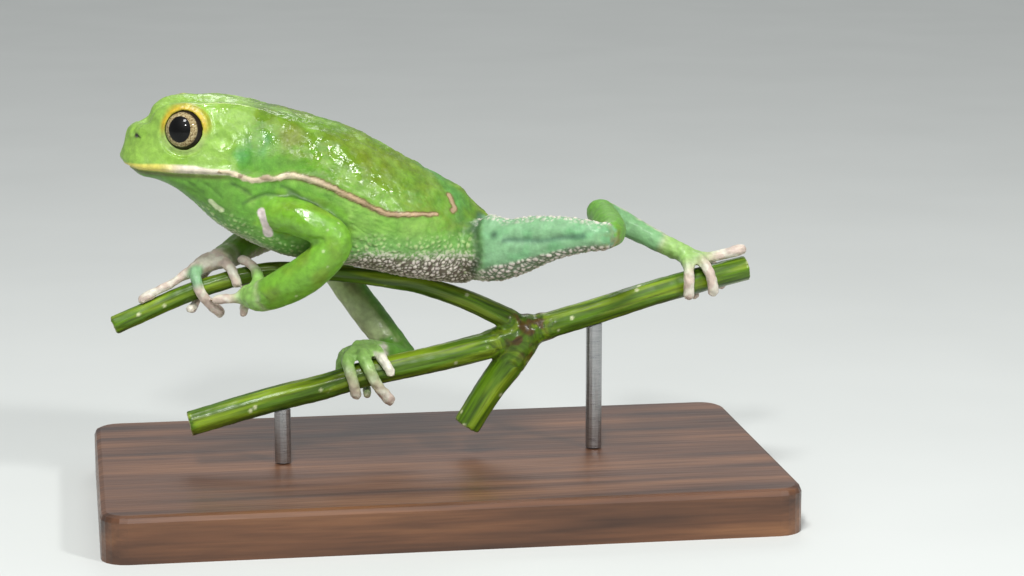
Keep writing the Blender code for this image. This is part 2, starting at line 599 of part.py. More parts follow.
def fold_path(points, side):
    """A fold's path on one side, at close and even steps, in metres."""
    rows = [(x, y * side, z) for x, y, z in points]
    return catmull_rom(rows, 14) * MM


def trunk_surface():
    """The fine surface of head and body, with lids, lips, nostrils, ears and folds."""
    lids = [lid_ball(-1), lid_ball(1)]
    trunk = fuse([trunk_mesh()] + lids, "trunk")
    for side in (-1, 1):
        for points, height, width in (LIP_FOLD, FLANK_FOLD, PAROTOID, EAR_FOLD):
            brush(trunk, fold_path(points, side), height, width)
        axis = mirrored(OPENING_AXIS, side)
        rim_centre = mirrored(EYE_CENTRE, side) + axis * LID_OPENING_HEIGHT
        brush(trunk, ring_path(rim_centre, axis, LID_RIM_RADIUS), *LID_RIM)
        ear = mirrored(EAR_CENTRE, side) * MM
        brush(trunk, [np.array(ear)], *EAR_DISH)
        brush(trunk, ring_path(ear, (0.1, side, 0.1), EAR_RADIUS), *EAR_RIM)
        nostril = mirrored(NOSTRIL, side) * MM
        brush(trunk, ring_path(nostril, (-0.6, side, 0.6), NOSTRIL_RIM_RADIUS), *NOSTRIL_RIM)
        brush(trunk, [np.array(nostril)], *NOSTRIL_PIT)
    return trunk


def open_lids(trunk):
    """Cut the sockets and the openings of both eyes."""
    for side in (-1, 1):
        boolean(trunk, eye_socket(side))
        boolean(trunk, lid_opening(side))
    return trunk


def cross_slab(start, end):
    """A thin slab right across the body through two points of its midline, taken on past the first one."""
    outer = tuple(start[i] + (start[i] - end[i]) * SLAB_REACH for i in range(3))
    return thin_slab((
        (outer[0], -SLAB_HALF_WIDTH, outer[2]),
        (outer[0], SLAB_HALF_WIDTH, outer[2]),
        (end[0], SLAB_HALF_WIDTH, end[2]),
        (end[0], -SLAB_HALF_WIDTH, end[2]),
    ))


def trunk_nodes(trunk, perch):
    """Head, lower jaw and torso, parted by thin cuts."""
    body = open_lids(copy_of(trunk, "body"))
    boolean(body, perch, keep=True)
    for start in (MOUTH_FRONT, NECK_TOP, THROAT):
        boolean(body, cross_slab(start, MOUTH_CORNER))
    seeds = {"head": (-56, 0, 76), "lower_jaw": (-55, 0, 66), "torso": (0, 0, 60)}
    nodes = part_by_seeds(body, seeds)
    return {name: thinned(thing, TRIANGLES[name]) for name, thing in nodes.items()}


def limb_surface(trunk_grown, perch, rows, digits, name):
    """One limb, grown out of the trunk with a soft root and then parted from it along the trunk's side."""
    pieces = [trunk_mesh(), sweep(rows)] + [sweep(digit, sides=12) for digit in digits]
    limb = fuse(pieces, name)
    boolean(limb, trunk_grown, keep=True)
    boolean(limb, perch, keep=True)
    return keep_largest(limb)


def limb_nodes(limb, joints, seeds):
    """The lengths of one limb, parted at its joints."""
    for joint in joints:
        boolean(limb, cut_disc(joint))
    nodes = part_by_seeds(limb, seeds)
    return {name: thinned(thing, TRIANGLES[name.rsplit("_", 1)[0]]) for name, thing in nodes.items()}


def arm_nodes(trunk_grown, perch, side, rows, fingers, elbow, wrist):
    """Upper arm, forearm and hand of one side."""
    limb = limb_surface(trunk_grown, perch, rows, fingers, "arm_" + side)
    seeds = {
        "upper_arm_" + side: rows[2][:3],
        "forearm_" + side: rows[5][:3],
        "hand_" + side: fingers[1][-1][:3],
    }
    return limb_nodes(limb, (elbow, wrist), seeds)


def leg_nodes(trunk_grown, perch, side, rows, toes, joints, middles):
    """Thigh, shank, tarsus and foot of one side; middles are the rows nearest the first three's middles."""
    limb = limb_surface(trunk_grown, perch, rows, toes, "leg_" + side)
    seeds = {
        "thigh_" + side: rows[middles[0]][:3],
        "shank_" + side: rows[middles[1]][:3],
        "tarsus_" + side: rows[middles[2]][:3],
        "foot_" + side: toes[1][-1][:3],
    }
    return limb_nodes(limb, joints, seeds)


def stem_body(rows, name):
    """One stem with flat cut ends."""
    return add_object(name, sweep(rows, name, sides=STEM_SIDES, steps=2, rounded=False))


def fork_body(stems):
    """The swollen fork that the stems grow from, cut back to leave the gap before each."""
    pieces = [ball(Vector(FORK_CENTRE) * MM, FORK_RADIUS * MM)]
    for outer in (UPPER_STEM[-1], LOWER_BRANCH[-1], RIGHT_BRANCH[0], LEAF_STALK[0]):
        stub = (outer, (*FORK_CENTRE, outer[3] + FORK_SWELL))
        pieces.append(sweep(stub, sides=STEM_SIDES, steps=4, rounded=False))
    fork = fuse(pieces, "perch_fork", smoothing=3)
    for stem in stems:
        boolean(fork, inflated(stem, GAP, "stem_grown"))
    return thinned(keep_largest(fork), FORK_TRIANGLES)


def perch_nodes():
    """The four stems and their fork."""
    stems = {
        "perch_upper_stem": stem_body(UPPER_STEM, "perch_upper_stem"),
        "perch_lower_branch": stem_body(LOWER_BRANCH, "perch_lower_branch"),
        "perch_right_branch": stem_body(RIGHT_BRANCH, "perch_right_branch"),
        "perch_leaf_stalk": stem_body(LEAF_STALK, "perch_leaf_stalk"),
    }
    return {**stems, "perch_fork": fork_body(list(stems.values()))}


def perch_clearance(nodes):
    """The whole perch grown by the gap, for cutting what rests on it."""
    meshes = [thing.data for thing in nodes.values()]
    joined = fuse(meshes, "perch", smoothing=0)
    return inflated(joined, PERCH_GAP, "perch_grown")


def stand_base():
    """A flat wooden base with rounded corners and an eased edge."""
    length, width, height = (value * MM for value in BASE_SIZE)
    corner = BASE_CORNER * MM
    mesh = bmesh.new()
    bmesh.ops.create_cube(mesh, size=1.0)
    bmesh.ops.scale(mesh, vec=(length, width, height), verts=mesh.verts)
    bmesh.ops.translate(mesh, vec=(0, 0, height / 2), verts=mesh.verts)
    uprights = [edge for edge in mesh.edges if abs(edge.verts[0].co.z - edge.verts[1].co.z) > height / 2]
    bmesh.ops.bevel(mesh, geom=uprights, offset=corner, segments=5, affect="EDGES", profile=0.5)
    rim = [edge for edge in mesh.edges if min(vert.co.z for vert in edge.verts) > height * 0.9]
    bmesh.ops.bevel(mesh, geom=rim, offset=BASE_EDGE * MM, segments=2, affect="EDGES", profile=0.5)
    data = bpy.data.meshes.new("stand_base")
    mesh.to_mesh(data)
    mesh.free()
    return add_object("stand_base", data)


def stand_rod(name, top, perch_grown):
    """One steel rod from the base up to a point inside a stem, cut to the stem's round underside."""
    bottom = BASE_SIZE[2] * MM + GAP
    depth = top[2] * MM - bottom
    mesh = bmesh.new()
    bmesh.ops.create_cone(mesh, cap_ends=True, segments=16, radius1=ROD_RADIUS * MM, radius2=ROD_RADIUS * MM,
                          depth=depth)
    bmesh.ops.translate(mesh, vec=(top[0] * MM, top[1] * MM, bottom + depth / 2), verts=mesh.verts)
    data = bpy.data.meshes.new(name)
    mesh.to_mesh(data)
    mesh.free()
    rod = boolean(add_object(name, data), perch_grown, keep=True)
    return thinned(keep_largest(rod), ROD_TRIANGLES)


def eyeball(name, side):
    """One eyeball."""
    return add_object(name, ball(mirrored(EYE_CENTRE, side), EYE_RADIUS, name, segments=20, rings=12))


def smooth_shade(thing):
    """Round shading over a body."""
    for face in thing.data.polygons:
        face.use_smooth = True


def give_material(thing, name):
    """The right look for a node of that name."""
    if name.startswith("perch_"):
        look = STEM
    elif name == "stand_base":
        look = WOOD
    elif name.startswith("stand_"):
        look = STEEL
    elif name.startswith("eye_"):
        look = EYE
    elif name.startswith(("hand_", "foot_")):
        look = PALE_SKIN
    else:
        look = SKIN
    thing.data.materials.clear()
    thing.data.materials.append(material(name, look))


def main():
    """Build every node."""
    remove_everything()
    nodes = perch_nodes()
    perch = perch_clearance(nodes)
    trunk = trunk_surface()
    grown = inflated(trunk, GAP, "trunk_grown")
    nodes.update(trunk_nodes(trunk, perch))
    nodes.update(arm_nodes(grown, perch, "left", LEFT_ARM, LEFT_FINGERS, ELBOW_LEFT, WRIST_LEFT))
    nodes.update(arm_nodes(grown, perch, "right", RIGHT_ARM, RIGHT_FINGERS, ELBOW_RIGHT, WRIST_RIGHT))
    nodes.update(leg_nodes(grown, perch, "left", LEFT_LEG, LEFT_TOES, LEFT_LEG_JOINTS, LEFT_LEG_MIDDLES))
    nodes.update(leg_nodes(grown, perch, "right", RIGHT_LEG, RIGHT_TOES, RIGHT_LEG_JOINTS, RIGHT_LEG_MIDDLES))
    nodes["eye_left"] = eyeball("eye_left", -1)
    nodes["eye_right"] = eyeball("eye_right", 1)
    nodes["stand_base"] = stand_base()
    nodes["stand_rod_front"] = stand_rod("stand_rod_front", FRONT_ROD_TOP, perch)
    nodes["stand_rod_rear"] = stand_rod("stand_rod_rear", REAR_ROD_TOP, perch)
    for name, thing in nodes.items():
        thing.name = name
        smooth_shade(thing)
        give_material(thing, name)
    for thing in list(bpy.data.objects):
        if thing not in nodes.values():
            bpy.data.objects.remove(thing, do_unlink=True)


main()
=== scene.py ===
"""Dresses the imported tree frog: one skin over all its flesh, finished eyes, stems and stand, on a pale floor
in soft studio light. Metres, in the CAD model's frame: the frog faces -X and its left side is -Y. Places and
sizes among the constants are millimetres, unless MM is in their value or their comment says metres."""

from math import cos, pi, radians, sin

import bmesh
import bpy
import numpy as np
from mathutils import Matrix, Vector, noise
from mathutils.kdtree import KDTree


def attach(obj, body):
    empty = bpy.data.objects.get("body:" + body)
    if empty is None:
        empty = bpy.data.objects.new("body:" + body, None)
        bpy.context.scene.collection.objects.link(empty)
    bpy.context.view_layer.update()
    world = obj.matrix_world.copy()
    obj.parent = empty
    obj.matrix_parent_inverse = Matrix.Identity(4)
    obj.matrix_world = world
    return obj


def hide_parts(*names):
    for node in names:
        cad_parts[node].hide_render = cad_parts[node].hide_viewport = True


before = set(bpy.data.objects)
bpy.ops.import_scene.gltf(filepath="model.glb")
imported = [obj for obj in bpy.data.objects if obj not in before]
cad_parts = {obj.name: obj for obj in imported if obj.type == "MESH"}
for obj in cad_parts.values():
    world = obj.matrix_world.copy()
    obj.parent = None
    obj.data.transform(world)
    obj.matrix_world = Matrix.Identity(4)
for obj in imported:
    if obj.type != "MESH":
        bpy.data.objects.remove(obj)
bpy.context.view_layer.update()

MM = 0.001
SIDES = (-1, 1)

# Camera, at the photograph's angle
CAMERA_AZIMUTH = -9.0
CAMERA_ELEVATION = 11.0
CAMERA_LENS = 100.0
SENSOR_WIDTH = 36.0
IMAGE_WIDTH = 1024
PIXEL_SIZE = 0.196 * MM
CAMERA_TARGET = (15.5, 0, 42.0)

# The skin's surface
SKIN_VOXEL = 0.24 * MM
CLOSING = 0.19 * MM
WELD = 0.001 * MM
SMOOTHING_ROUNDS = 26
DIGIT_SMOOTHING = 0.35
SPREAD_AND_KEEP = (0.5, -0.52)
SPREAD_ONLY = (0.5,)

# Eyes, with the lids' painted bands as a width and a radius, and the nostrils
EYE_CENTRE = (-47.4, 7.2, 75.5)
EYE_RADIUS = 4.2
CORNEA_RISE = 0.12
GAZE = Vector((-0.431, 0.885, 0.174)).normalized()
PUPIL_HALF_SIZE = (2.2, 2.5)
IRIS_HALF_SIZE = (3.28, 3.32)
LID_AXIS = Vector((-0.354, 0.922, 0.156)).normalized()
LID_HEIGHT = 2.05
LID_RING_RADIUS = 3.92
LID_RING_THICKNESS = 0.42
# Radii between which the painted shade along the lids' inner edge fades out
LID_EDGE_SHADE = (3.75, 3.55)
LID_BAND = (0.6, 4.1)
LID_HALO = (0.5, 4.9)
NOSTRIL_RADIUS = 0.46

# Mouth line, as (x, z) from the snout to the corner of the mouth, its groove and lips as a rise, a width and
# a place above the line, and the top of the pale lip above the line, as (x, height)
MOUTH_FRONT = (-59.6, 68.17)
MOUTH_CORNER = (-39.5, 67.6)
MOUTH_PROFILE = ((-0.36, 0.26, 0), (-0.16, 0.5, -0.8), (0.10, 0.45, 0.75))
LIP_TOP = ((-60, 0.7), (-57.6, 1.1), (-52.2, 1.5), (-46.5, 1.5), (-44.3, 1.1), (-39.7, 0.8), (-37, 0.5))

# Paths of the skin's folds and creases, across the middle or on the frog's right side and mirrored
BROW_RIDGE = ((-51.8, 7.2, 79.0), (-49.5, 8.3, 79.6), (-46.5, 7.5, 80.4), (-41, 7.4, 80.4),
              (-35.6, 6.9, 79.5), (-30.4, 7.6, 78.0))
NOTCH = ((-53.0, -6.3, 77.6), (-54.7, -3.8, 77.3), (-55.3, 0, 77.6), (-54.7, 3.8, 77.3), (-53.0, 6.3, 77.6))
SNOUT_TOP = ((-57.6, -3.6, 75.2), (-58.4, 0, 75.4), (-57.6, 3.6, 75.2))
CROWN_FRONT = ((-52.0, -4.5, 79.8), (-52.6, 0, 79.9), (-52.0, 4.5, 79.8))
NOSTRIL = ((-56.8, 4.2, 74.3), (-56.2, 4.7, 73.9))
NOSTRIL_BUMP = ((-56.0, 4.3, 75.2), (-55.2, 4.8, 75.3))
STRIPE = ((-41.7, 12.4, 68.1), (-38.9, 12.7, 67.6), (-37, 12.4, 66.9), (-35.1, 12.3, 66.5),
          (-33.1, 12.2, 66.8), (-31.4, 12.0, 66.6), (-28.7, 11.9, 67.1), (-25.5, 12.0, 66.5),
          (-22, 12.3, 65.2), (-18.5, 12.6, 63.5), (-14.1, 12.9, 61.3), (-11, 12.9, 59.8),
          (-8.7, 12.9, 59.4), (-5.9, 12.3, 59.2), (-0.6, 10.1, 58.8))
UNDER_STRIPE_DROP = 0.85
UNDER_STRIPE = tuple((x, y, z - UNDER_STRIPE_DROP) for x, y, z in STRIPE[4:12])
STRIPE_HALF_WIDTH = ((0, 0.1, 0.45, 0.75, 1), (0.45, 0.5, 0.58, 0.42, 0.2))
HOOK = ((2.4, 5.3, 61.7), (2.9, 6.1, 60.5), (3.3, 6.9, 59.4), (2.7, 7.6, 58.9))
SHOULDER_CREASES = (
    ((-37.5, 11.8, 62.0), (-35.4, 11.9, 63.0), (-33.2, 11.9, 63.7), (-30.9, 11.7, 63.4),
     (-28.6, 11.9, 62.7)),
    ((-30.2, 11.8, 65.2), (-28.4, 11.8, 64.2), (-26.4, 12.2, 62.9), (-23.6, 12.4, 61.4)),
    ((-39.5, 12.2, 65.9), (-37.1, 12.1, 64.5), (-35.9, 11.9, 63.6)),
)
THROAT_CREASES = (
    ((-51.5, 9.0, 66.9), (-48.5, 10.5, 66.2), (-46.2, 10.6, 64.8), (-44.6, 10.6, 63.4)),
    ((-48.0, 9.6, 65.0), (-46.0, 10.2, 63.6), (-44.0, 10.4, 62.0)),
    ((-45.9, 11.4, 66.6), (-43.6, 11.5, 65.0), (-41.2, 11.5, 62.9)),
)

# Painted marks on both sides
THROAT_PATCH = ((-43.4, 10.5, 62.5), (-42.6, 10.5, 61.6), (-41.5, 10.5, 60.8))
ARMPIT_SHADE = ((-28.6, 11.7, 63.8), (-27, 12.0, 63.0), (-24, 12.5, 61.4), (-21, 12.8, 59.5),
                (-18.5, 12.8, 57.5))

# Marks and creases of the left limbs
ARM_BAR = ((-34.0, -11.8, 60.2), (-33.7, -12.0, 59.0), (-33.2, -11.6, 57.2), (-32.8, -10.8, 55.9))
ELBOW_CREASE = ((-27.0, -15.0, 55.4), (-25.0, -17.1, 55.7), (-23.9, -17.9, 55.9), (-22.6, -18.2, 56.0))
WRIST_CREASE = ((-34.9, -12.0, 45.2), (-34.2, -13.0, 44.6), (-33.4, -13.4, 43.7), (-32.8, -13.0, 42.6))
THIGH_GROOVE = ((11.5, -15.0, 54.2), (13.5, -16.0, 54.4), (16, -17.4, 54.5), (18.5, -18.9, 54.7),
                (21, -20.2, 55.2), (25.6, -22.4, 55.9))
THIGH_ROOT = ((8.9, -4, 58.0), (6.9, -9.9, 55.4), (6.8, -11.9, 53.0), (7.0, -12.1, 50.4), (6.2, -10.3, 47.2))
# Painted shade where the thigh's groove meets its root
THIGH_ROOT_SHADE = (9.8, -13.5, 55.2)
KNEE = (30.8, -21.0, 54.6)

# Folds (raised) and creases (sunk): path, height, width and, unless it is FADE, the share that fades
FADE = 0.15
MIDDLE_FOLDS = ((NOTCH, -1.15, 1.5, 0.3), (SNOUT_TOP, 0.42, 1.5, 0.3), (CROWN_FRONT, 0.30, 1.4, 0.3))
FACE_FOLDS = (
    (BROW_RIDGE, 0.16, 0.42),
    (NOSTRIL_BUMP, 0.28, 0.9, 0),
    (NOSTRIL, 0.16, 0.75, 0),
    (NOSTRIL, -0.55, 0.27, 0),
    *((crease, -0.16, 0.4) for crease in THROAT_CREASES),
)
FLANK_FOLDS = (
    (STRIPE, 0.16, 0.5, 0.08),
    (UNDER_STRIPE, -0.16, 0.4),
    (HOOK, 0.14, 0.45),
    *((crease, -0.22, 0.4) for crease in SHOULDER_CREASES),
)
LEFT_LIMB_FOLDS = (
    (ELBOW_CREASE, -0.25, 0.35),
    (WRIST_CREASE, -0.14, 0.3),
    (THIGH_GROOVE, -0.45, 0.85),
    (THIGH_ROOT, -0.45, 0.9),
)

# The left thigh's lower edge, as (x, z), below which its granules begin
THIGH_UNDER = ((4, 46.5), (6.6, 47.6), (9.3, 49.2), (12.7, 50.1), (16, 51.3), (19.4, 52.4), (23.5, 53.7),
               (27, 54.4))

# Where the pale granules of the belly begin, as (x, z)
BELLY_LINE = ((-45, 58.5), (-38, 55.5), (-30, 51.0), (-24, 50.0), (-18, 50.3), (-14.5, 51.9), (-11, 51.9),
              (-7.7, 51.3), (3.4, 51.1), (12, 51))

# Granules, as size and rise, and the finer grain of the back
BELLY_GRANULE = (0.82, 0.22)
FLANK_GRANULE = (1.0, 0.20)
THIGH_GRANULE = (1.05, 0.26)
ARM_GRANULE = (0.82, 0.12)
BACK_GRAIN = 0.8
GRAIN_EDGE = 0.52
FAINTEST = 0.01

# Stems of the perch, as (x, y, z, radius)
UPPER_STEM = ((-62, 0, 37.0, 1.75), (-58.6, 0, 38.4, 1.75), (-51.8, 0, 41.3, 1.75), (-46.9, 0, 43.2, 1.75),
              (-41.8, 0, 44.7, 1.75), (-36.8, 0, 46.0, 1.7), (-31.3, 0, 46.9, 1.65), (-23.1, 0, 46.5, 1.6),
              (-15.0, 0, 45.4, 1.6), (-8.3, 0, 44.3, 1.65), (-2.2, 0, 43.1, 1.75), (6.5, 0, 39.9, 1.9),
              (14.0, 0, 36.2, 2.1))
LOWER_BRANCH = ((-48.0, -2, 17.6, 2.4), (-45.5, -2, 18.2, 2.4), (-32.3, -2, 21.7, 2.45),
                (-21.7, -1.6, 23.9, 2.5), (-13.3, -1.5, 26.2, 2.55), (0.7, -1, 28.7, 2.6),
                (10.3, -0.3, 30.6, 2.7))
RIGHT_BRANCH = ((23.6, 0, 34.5, 2.6), (32.1, 0.5, 36.7, 2.55), (42.7, 1.0, 39.6, 2.5),
                (54.3, 1.5, 42.4, 2.45), (63.1, 2.0, 44.3, 2.45))
LEAF_STALK = ((14.7, 0, 26.8, 3.1), (11.0, 0, 21.8, 2.8), (6.4, 0, 14.6, 2.7))
STEMS = (UPPER_STEM, LOWER_BRANCH, RIGHT_BRANCH, LEAF_STALK)
FREE_ENDS = ((UPPER_STEM, 0, 1), (LOWER_BRANCH, 0, 1), (RIGHT_BRANCH, -1, -2), (LEAF_STALK, -1, -2))
FORK = (18.4, 0, 33.2)
FORK_REACH = (4.0, 7.0)
STEM_SIDES = 40
STEM_VOXEL = 0.3 * MM
STEM_SMOOTHING = 10
FLUTES = 9
FLUTE_DEPTH = 0.05
CUT_MARGIN = 0.6

# Corner between the rump and each thigh, which is filled and rounded, and the radius of the rounding
HIP_CORNER = ((9.8, 12, 56.0), (10.3, 8, 56.7), (10.5, 4, 57.0), (10.4, 1, 57.2))
HIP_RADIUS = 5.5
HIP_FILL = (1.1, 1.6)
HIP_SMOOTHING = 70

# How far the right hand's long finger is lowered onto the stem, as (x, drop)
FINGER_DROP = ((-58, 1.0), (-56.5, 0.75), (-53, 0.4), (-51, 0.35), (-48.5, 0))

# The thigh's own colour begins here, millimetres along X
THIGH_START = (6.4, 8.6)


def srgb(red, green, blue):
    """Linear colour from 0 to 255 screen values."""
    values = np.array((red, green, blue)) / 255.0
    return np.where(values <= 0.04045, values / 12.92, ((values + 0.055) / 1.055) ** 2.4)


# The skin's colours, and how much of them it gives back
SKIN_TONE = np.array((0.71, 0.71, 0.65))
BACK_GREEN = srgb(112, 158, 34)
OLIVE = srgb(122, 142, 30)
SIDE_GREEN = srgb(112, 178, 54)
DEEP_GREEN = srgb(70, 134, 36)
PALE_GREEN = srgb(158, 204, 96)
TEAL_GREEN = srgb(84, 172, 106)
HEAD_GREEN = srgb(154, 198, 84)
ARM_GREEN = srgb(124, 184, 50)
BELLY_GREEN = srgb(118, 174, 92)
THIGH_BLUE = srgb(138, 190, 144)
SHADE_BLUE = srgb(66, 104, 92)
SHADE_GREEN = srgb(40, 72, 36)
GRANULE_PALE = srgb(230, 220, 216)
GRANULE_GREEN = srgb(196, 222, 152)
# Painted shade for the gaps between granules and for the nostrils
GAP_SHADE = srgb(104, 80, 84)
LIP_YELLOW = srgb(240, 228, 112)
LIP_WHITE = srgb(246, 234, 220)
LIP_SHADE = srgb(84, 84, 20)
STRIPE_CREAM = srgb(240, 222, 196)
STRIPE_PINK = srgb(208, 176, 144)
STRIPE_EDGE = srgb(118, 88, 48)
BAR_LILAC = srgb(242, 226, 232)
DIGIT_PINK = srgb(222, 202, 194)
DIGIT_WHITE = srgb(240, 236, 226)
HAND_GREEN = srgb(154, 206, 104)
HAND_TEAL = srgb(130, 190, 140)
LID_YELLOW = srgb(216, 184, 44)
LID_PALE = srgb(206, 222, 150)
BROW_PALE = srgb(206, 226, 150)
KNEE_BROWN = srgb(150, 120, 60)
SHANK_PALE = srgb(194, 218, 150)
# Painted shadow on the upper part of the right shank
SHANK_SHADOW = srgb(92, 84, 30)
SPECK_WHITE = srgb(222, 238, 190)

# Soft patches on both sides: centre, radius, colour and strength
PATCHES = (
    ((-33.5, 11.0, 73.3), 2.6, TEAL_GREEN, 0.5),
    ((-38.0, 11.5, 71.0), 2.0, TEAL_GREEN, 0.4),
    ((-28.0, 10.5, 74.5), 3.2, OLIVE, 0.8),
    ((-12.0, 9.0, 70.5), 6.0, OLIVE, 0.6),
    ((-46.0, 9.5, 64.0), 4.0, OLIVE, 0.5),
    ((-15.0, 12.5, 58.5), 5.5, PALE_GREEN, 0.6),
    ((-5.0, 11.5, 55.5), 5.0, PALE_GREEN, 0.5),
    ((1.0, 3.0, 67.5), 3.5, TEAL_GREEN, 0.5),
    ((5.0, 6.0, 62.0), 3.0, TEAL_GREEN, 0.5),
    # Painted shade at the thigh's root
    ((5.8, 9.5, 56.5), 2.4, SHADE_BLUE, 0.5),
    ((5.0, 9.0, 48.0), 2.6, STRIPE_EDGE, 0.35),
)

# Wettest patches on both sides: centre and radius
WET_PATCHES = (
    ((-33.0, 10.0, 75.5), 3.5), ((-38.5, 11.8, 71.0), 3.0), ((-49.0, 10.0, 70.5), 2.5),
    ((-42.0, 5.0, 80.0), 5.0), ((-30.0, 4.0, 78.5), 6.0), ((-22.5, 11.0, 72.5), 4.5),
    ((-16.0, 11.5, 70.0), 5.0), ((-11.0, 12.0, 66.5), 4.5), ((-55.5, 4.5, 75.0), 1.5),
    ((30.5, -21.0, 56.5), 2.5), ((-28.0, -16.0, 60.5), 3.0),
)

# Green backs of the hands and feet: node, centre, radii of full and of no colour, colour and strength
DIGIT_ROOTS = (
    ("hand_left", (-33.6, -9.0, 44.2), 4.2, 8.0, HAND_GREEN, 1.0),
    ("foot_right", (-14.0, 1.6, 31.5), 7.5, 12.5, HAND_GREEN, 0.95),
    ("foot_left", (49.4, 3.6, 49.0), 4.0, 9.0, HAND_GREEN, 0.9),
    ("hand_right", (-39.8, 5.2, 50.0), 1.5, 4.0, HAND_GREEN, 0.8),
    ("hand_right", (-46.2, -2.8, 47.0), 1.6, 3.4, HAND_TEAL, 0.9),
)

# Stem colours
STEM_GREEN = srgb(86, 122, 20)
STEM_LIGHT = srgb(150, 176, 40)
STEM_UNDERSIDE_SHADE = srgb(50, 82, 14)
STEM_SCAR = srgb(98, 66, 34)
STEM_SPECK = srgb(214, 220, 170)
STEM_PITH = srgb(206, 208, 150)

# Floor in metres, and lights: name, place, aim, size and power
FLOOR_SIZE = 4.0
WORLD_COLOUR = (0.95, 0.98, 1.0)
WORLD_STRENGTH = 0.34
LIGHTS = (
    ("key", (-180, -380, 800), (0, 0, 55), 170, 5.0),
    ("flash", (-110, -500, 430), (0, 0, 60), 60, 1.5),
    ("fill", (420, -560, 560), (0, 0, 60), 90, 3.0),
    ("rim", (300, 1600, 1500), (0, 0, 60), 800, 7.0),
)

SIDE_NODES = ("upper_arm", "forearm", "hand", "thigh", "shank", "tarsus", "foot")
FLESH = ["head", "lower_jaw", "torso"]
FLESH += [f"{name}_{side}" for name in SIDE_NODES for side in ("left", "right")]


# Mesh helpers

def add_object(name, data):
    """Link a mesh, light or camera as an object of that name."""
    made = bpy.data.objects.new(name, data)
    bpy.context.scene.collection.objects.link(made)
    return made


def bake(thing, kind, **settings):
    """Apply one modifier of the given kind to an object's mesh."""
    modifier = thing.modifiers.new(kind, kind)
    for key, value in settings.items():
        setattr(modifier, key, value)
    graph = bpy.context.evaluated_depsgraph_get()
    mesh = bpy.data.meshes.new_from_object(thing.evaluated_get(graph))
    thing.modifiers.clear()
    old = thing.data
    thing.data = mesh
    bpy.data.meshes.remove(old)
    return thing


def finished(mesh, name):
    """The mesh data of that name from an edit mesh, which is freed."""
    made = bpy.data.meshes.new(name)
    mesh.to_mesh(made)
    mesh.free()
    return made


def rows_of(items, key):
    """Three numbers of each item of a mesh, such as its place or normal, as rows."""
    flat = np.empty(len(items) * 3, np.float32)
    items.foreach_get(key, flat)
    return flat.reshape(-1, 3).astype(float)


def join_rings(mesh, rings, closed):
    """Faces between rings of vertices, and back to the first ring where closed."""
    for one, two in zip(rings, rings[1:] + rings[:1] if closed else rings[1:]):
        for index in range(len(one)):
            after = (index + 1) % len(one)
            mesh.faces.new((one[index], one[after], two[after], two[index]))


def neighbour_mean(values, edges, counts):
    """For each vertex the mean of its neighbours' values, for rows or single numbers."""
    columns = values.reshape(len(values), -1)
    total = np.empty_like(columns)
    for k in range(columns.shape[1]):
        total[:, k] = np.bincount(edges[:, 0], columns[edges[:, 1], k], len(columns))
        total[:, k] += np.bincount(edges[:, 1], columns[edges[:, 0], k], len(columns))
    return (total / counts[:, None]).reshape(values.shape)


def step_between(low, high, values):
    """A smooth step from 0 at low to 1 at high; low may be the larger."""
    share = np.clip((values - low) / (high - low), 0, 1)
    return share * share * (3 - 2 * share)


def bell(values, width, centre=0.0):
    """A soft peak of 1 at the centre, which fades over the width."""
    return np.exp(-((values - centre) / width) ** 2)


def smooth_path(points, steps=8):
    """Points of a smooth curve through (x, y, z) in millimetres, returned in metres."""
    rows = np.array(points, dtype=float) * MM
    padded = np.vstack([2 * rows[0] - rows[1], rows, 2 * rows[-1] - rows[-2]])
    curve = []
    for one, two, three, four in zip(padded, padded[1:], padded[2:], padded[3:]):
        for step in range(steps):
            t = step / steps
            curve.append(0.5 * (2 * two + (three - one) * t + (2 * one - 5 * two + 4 * three - four) * t ** 2
                                + (3 * two - one - 3 * three + four) * t ** 3))
    curve.append(rows[-1])
    return np.array(curve)


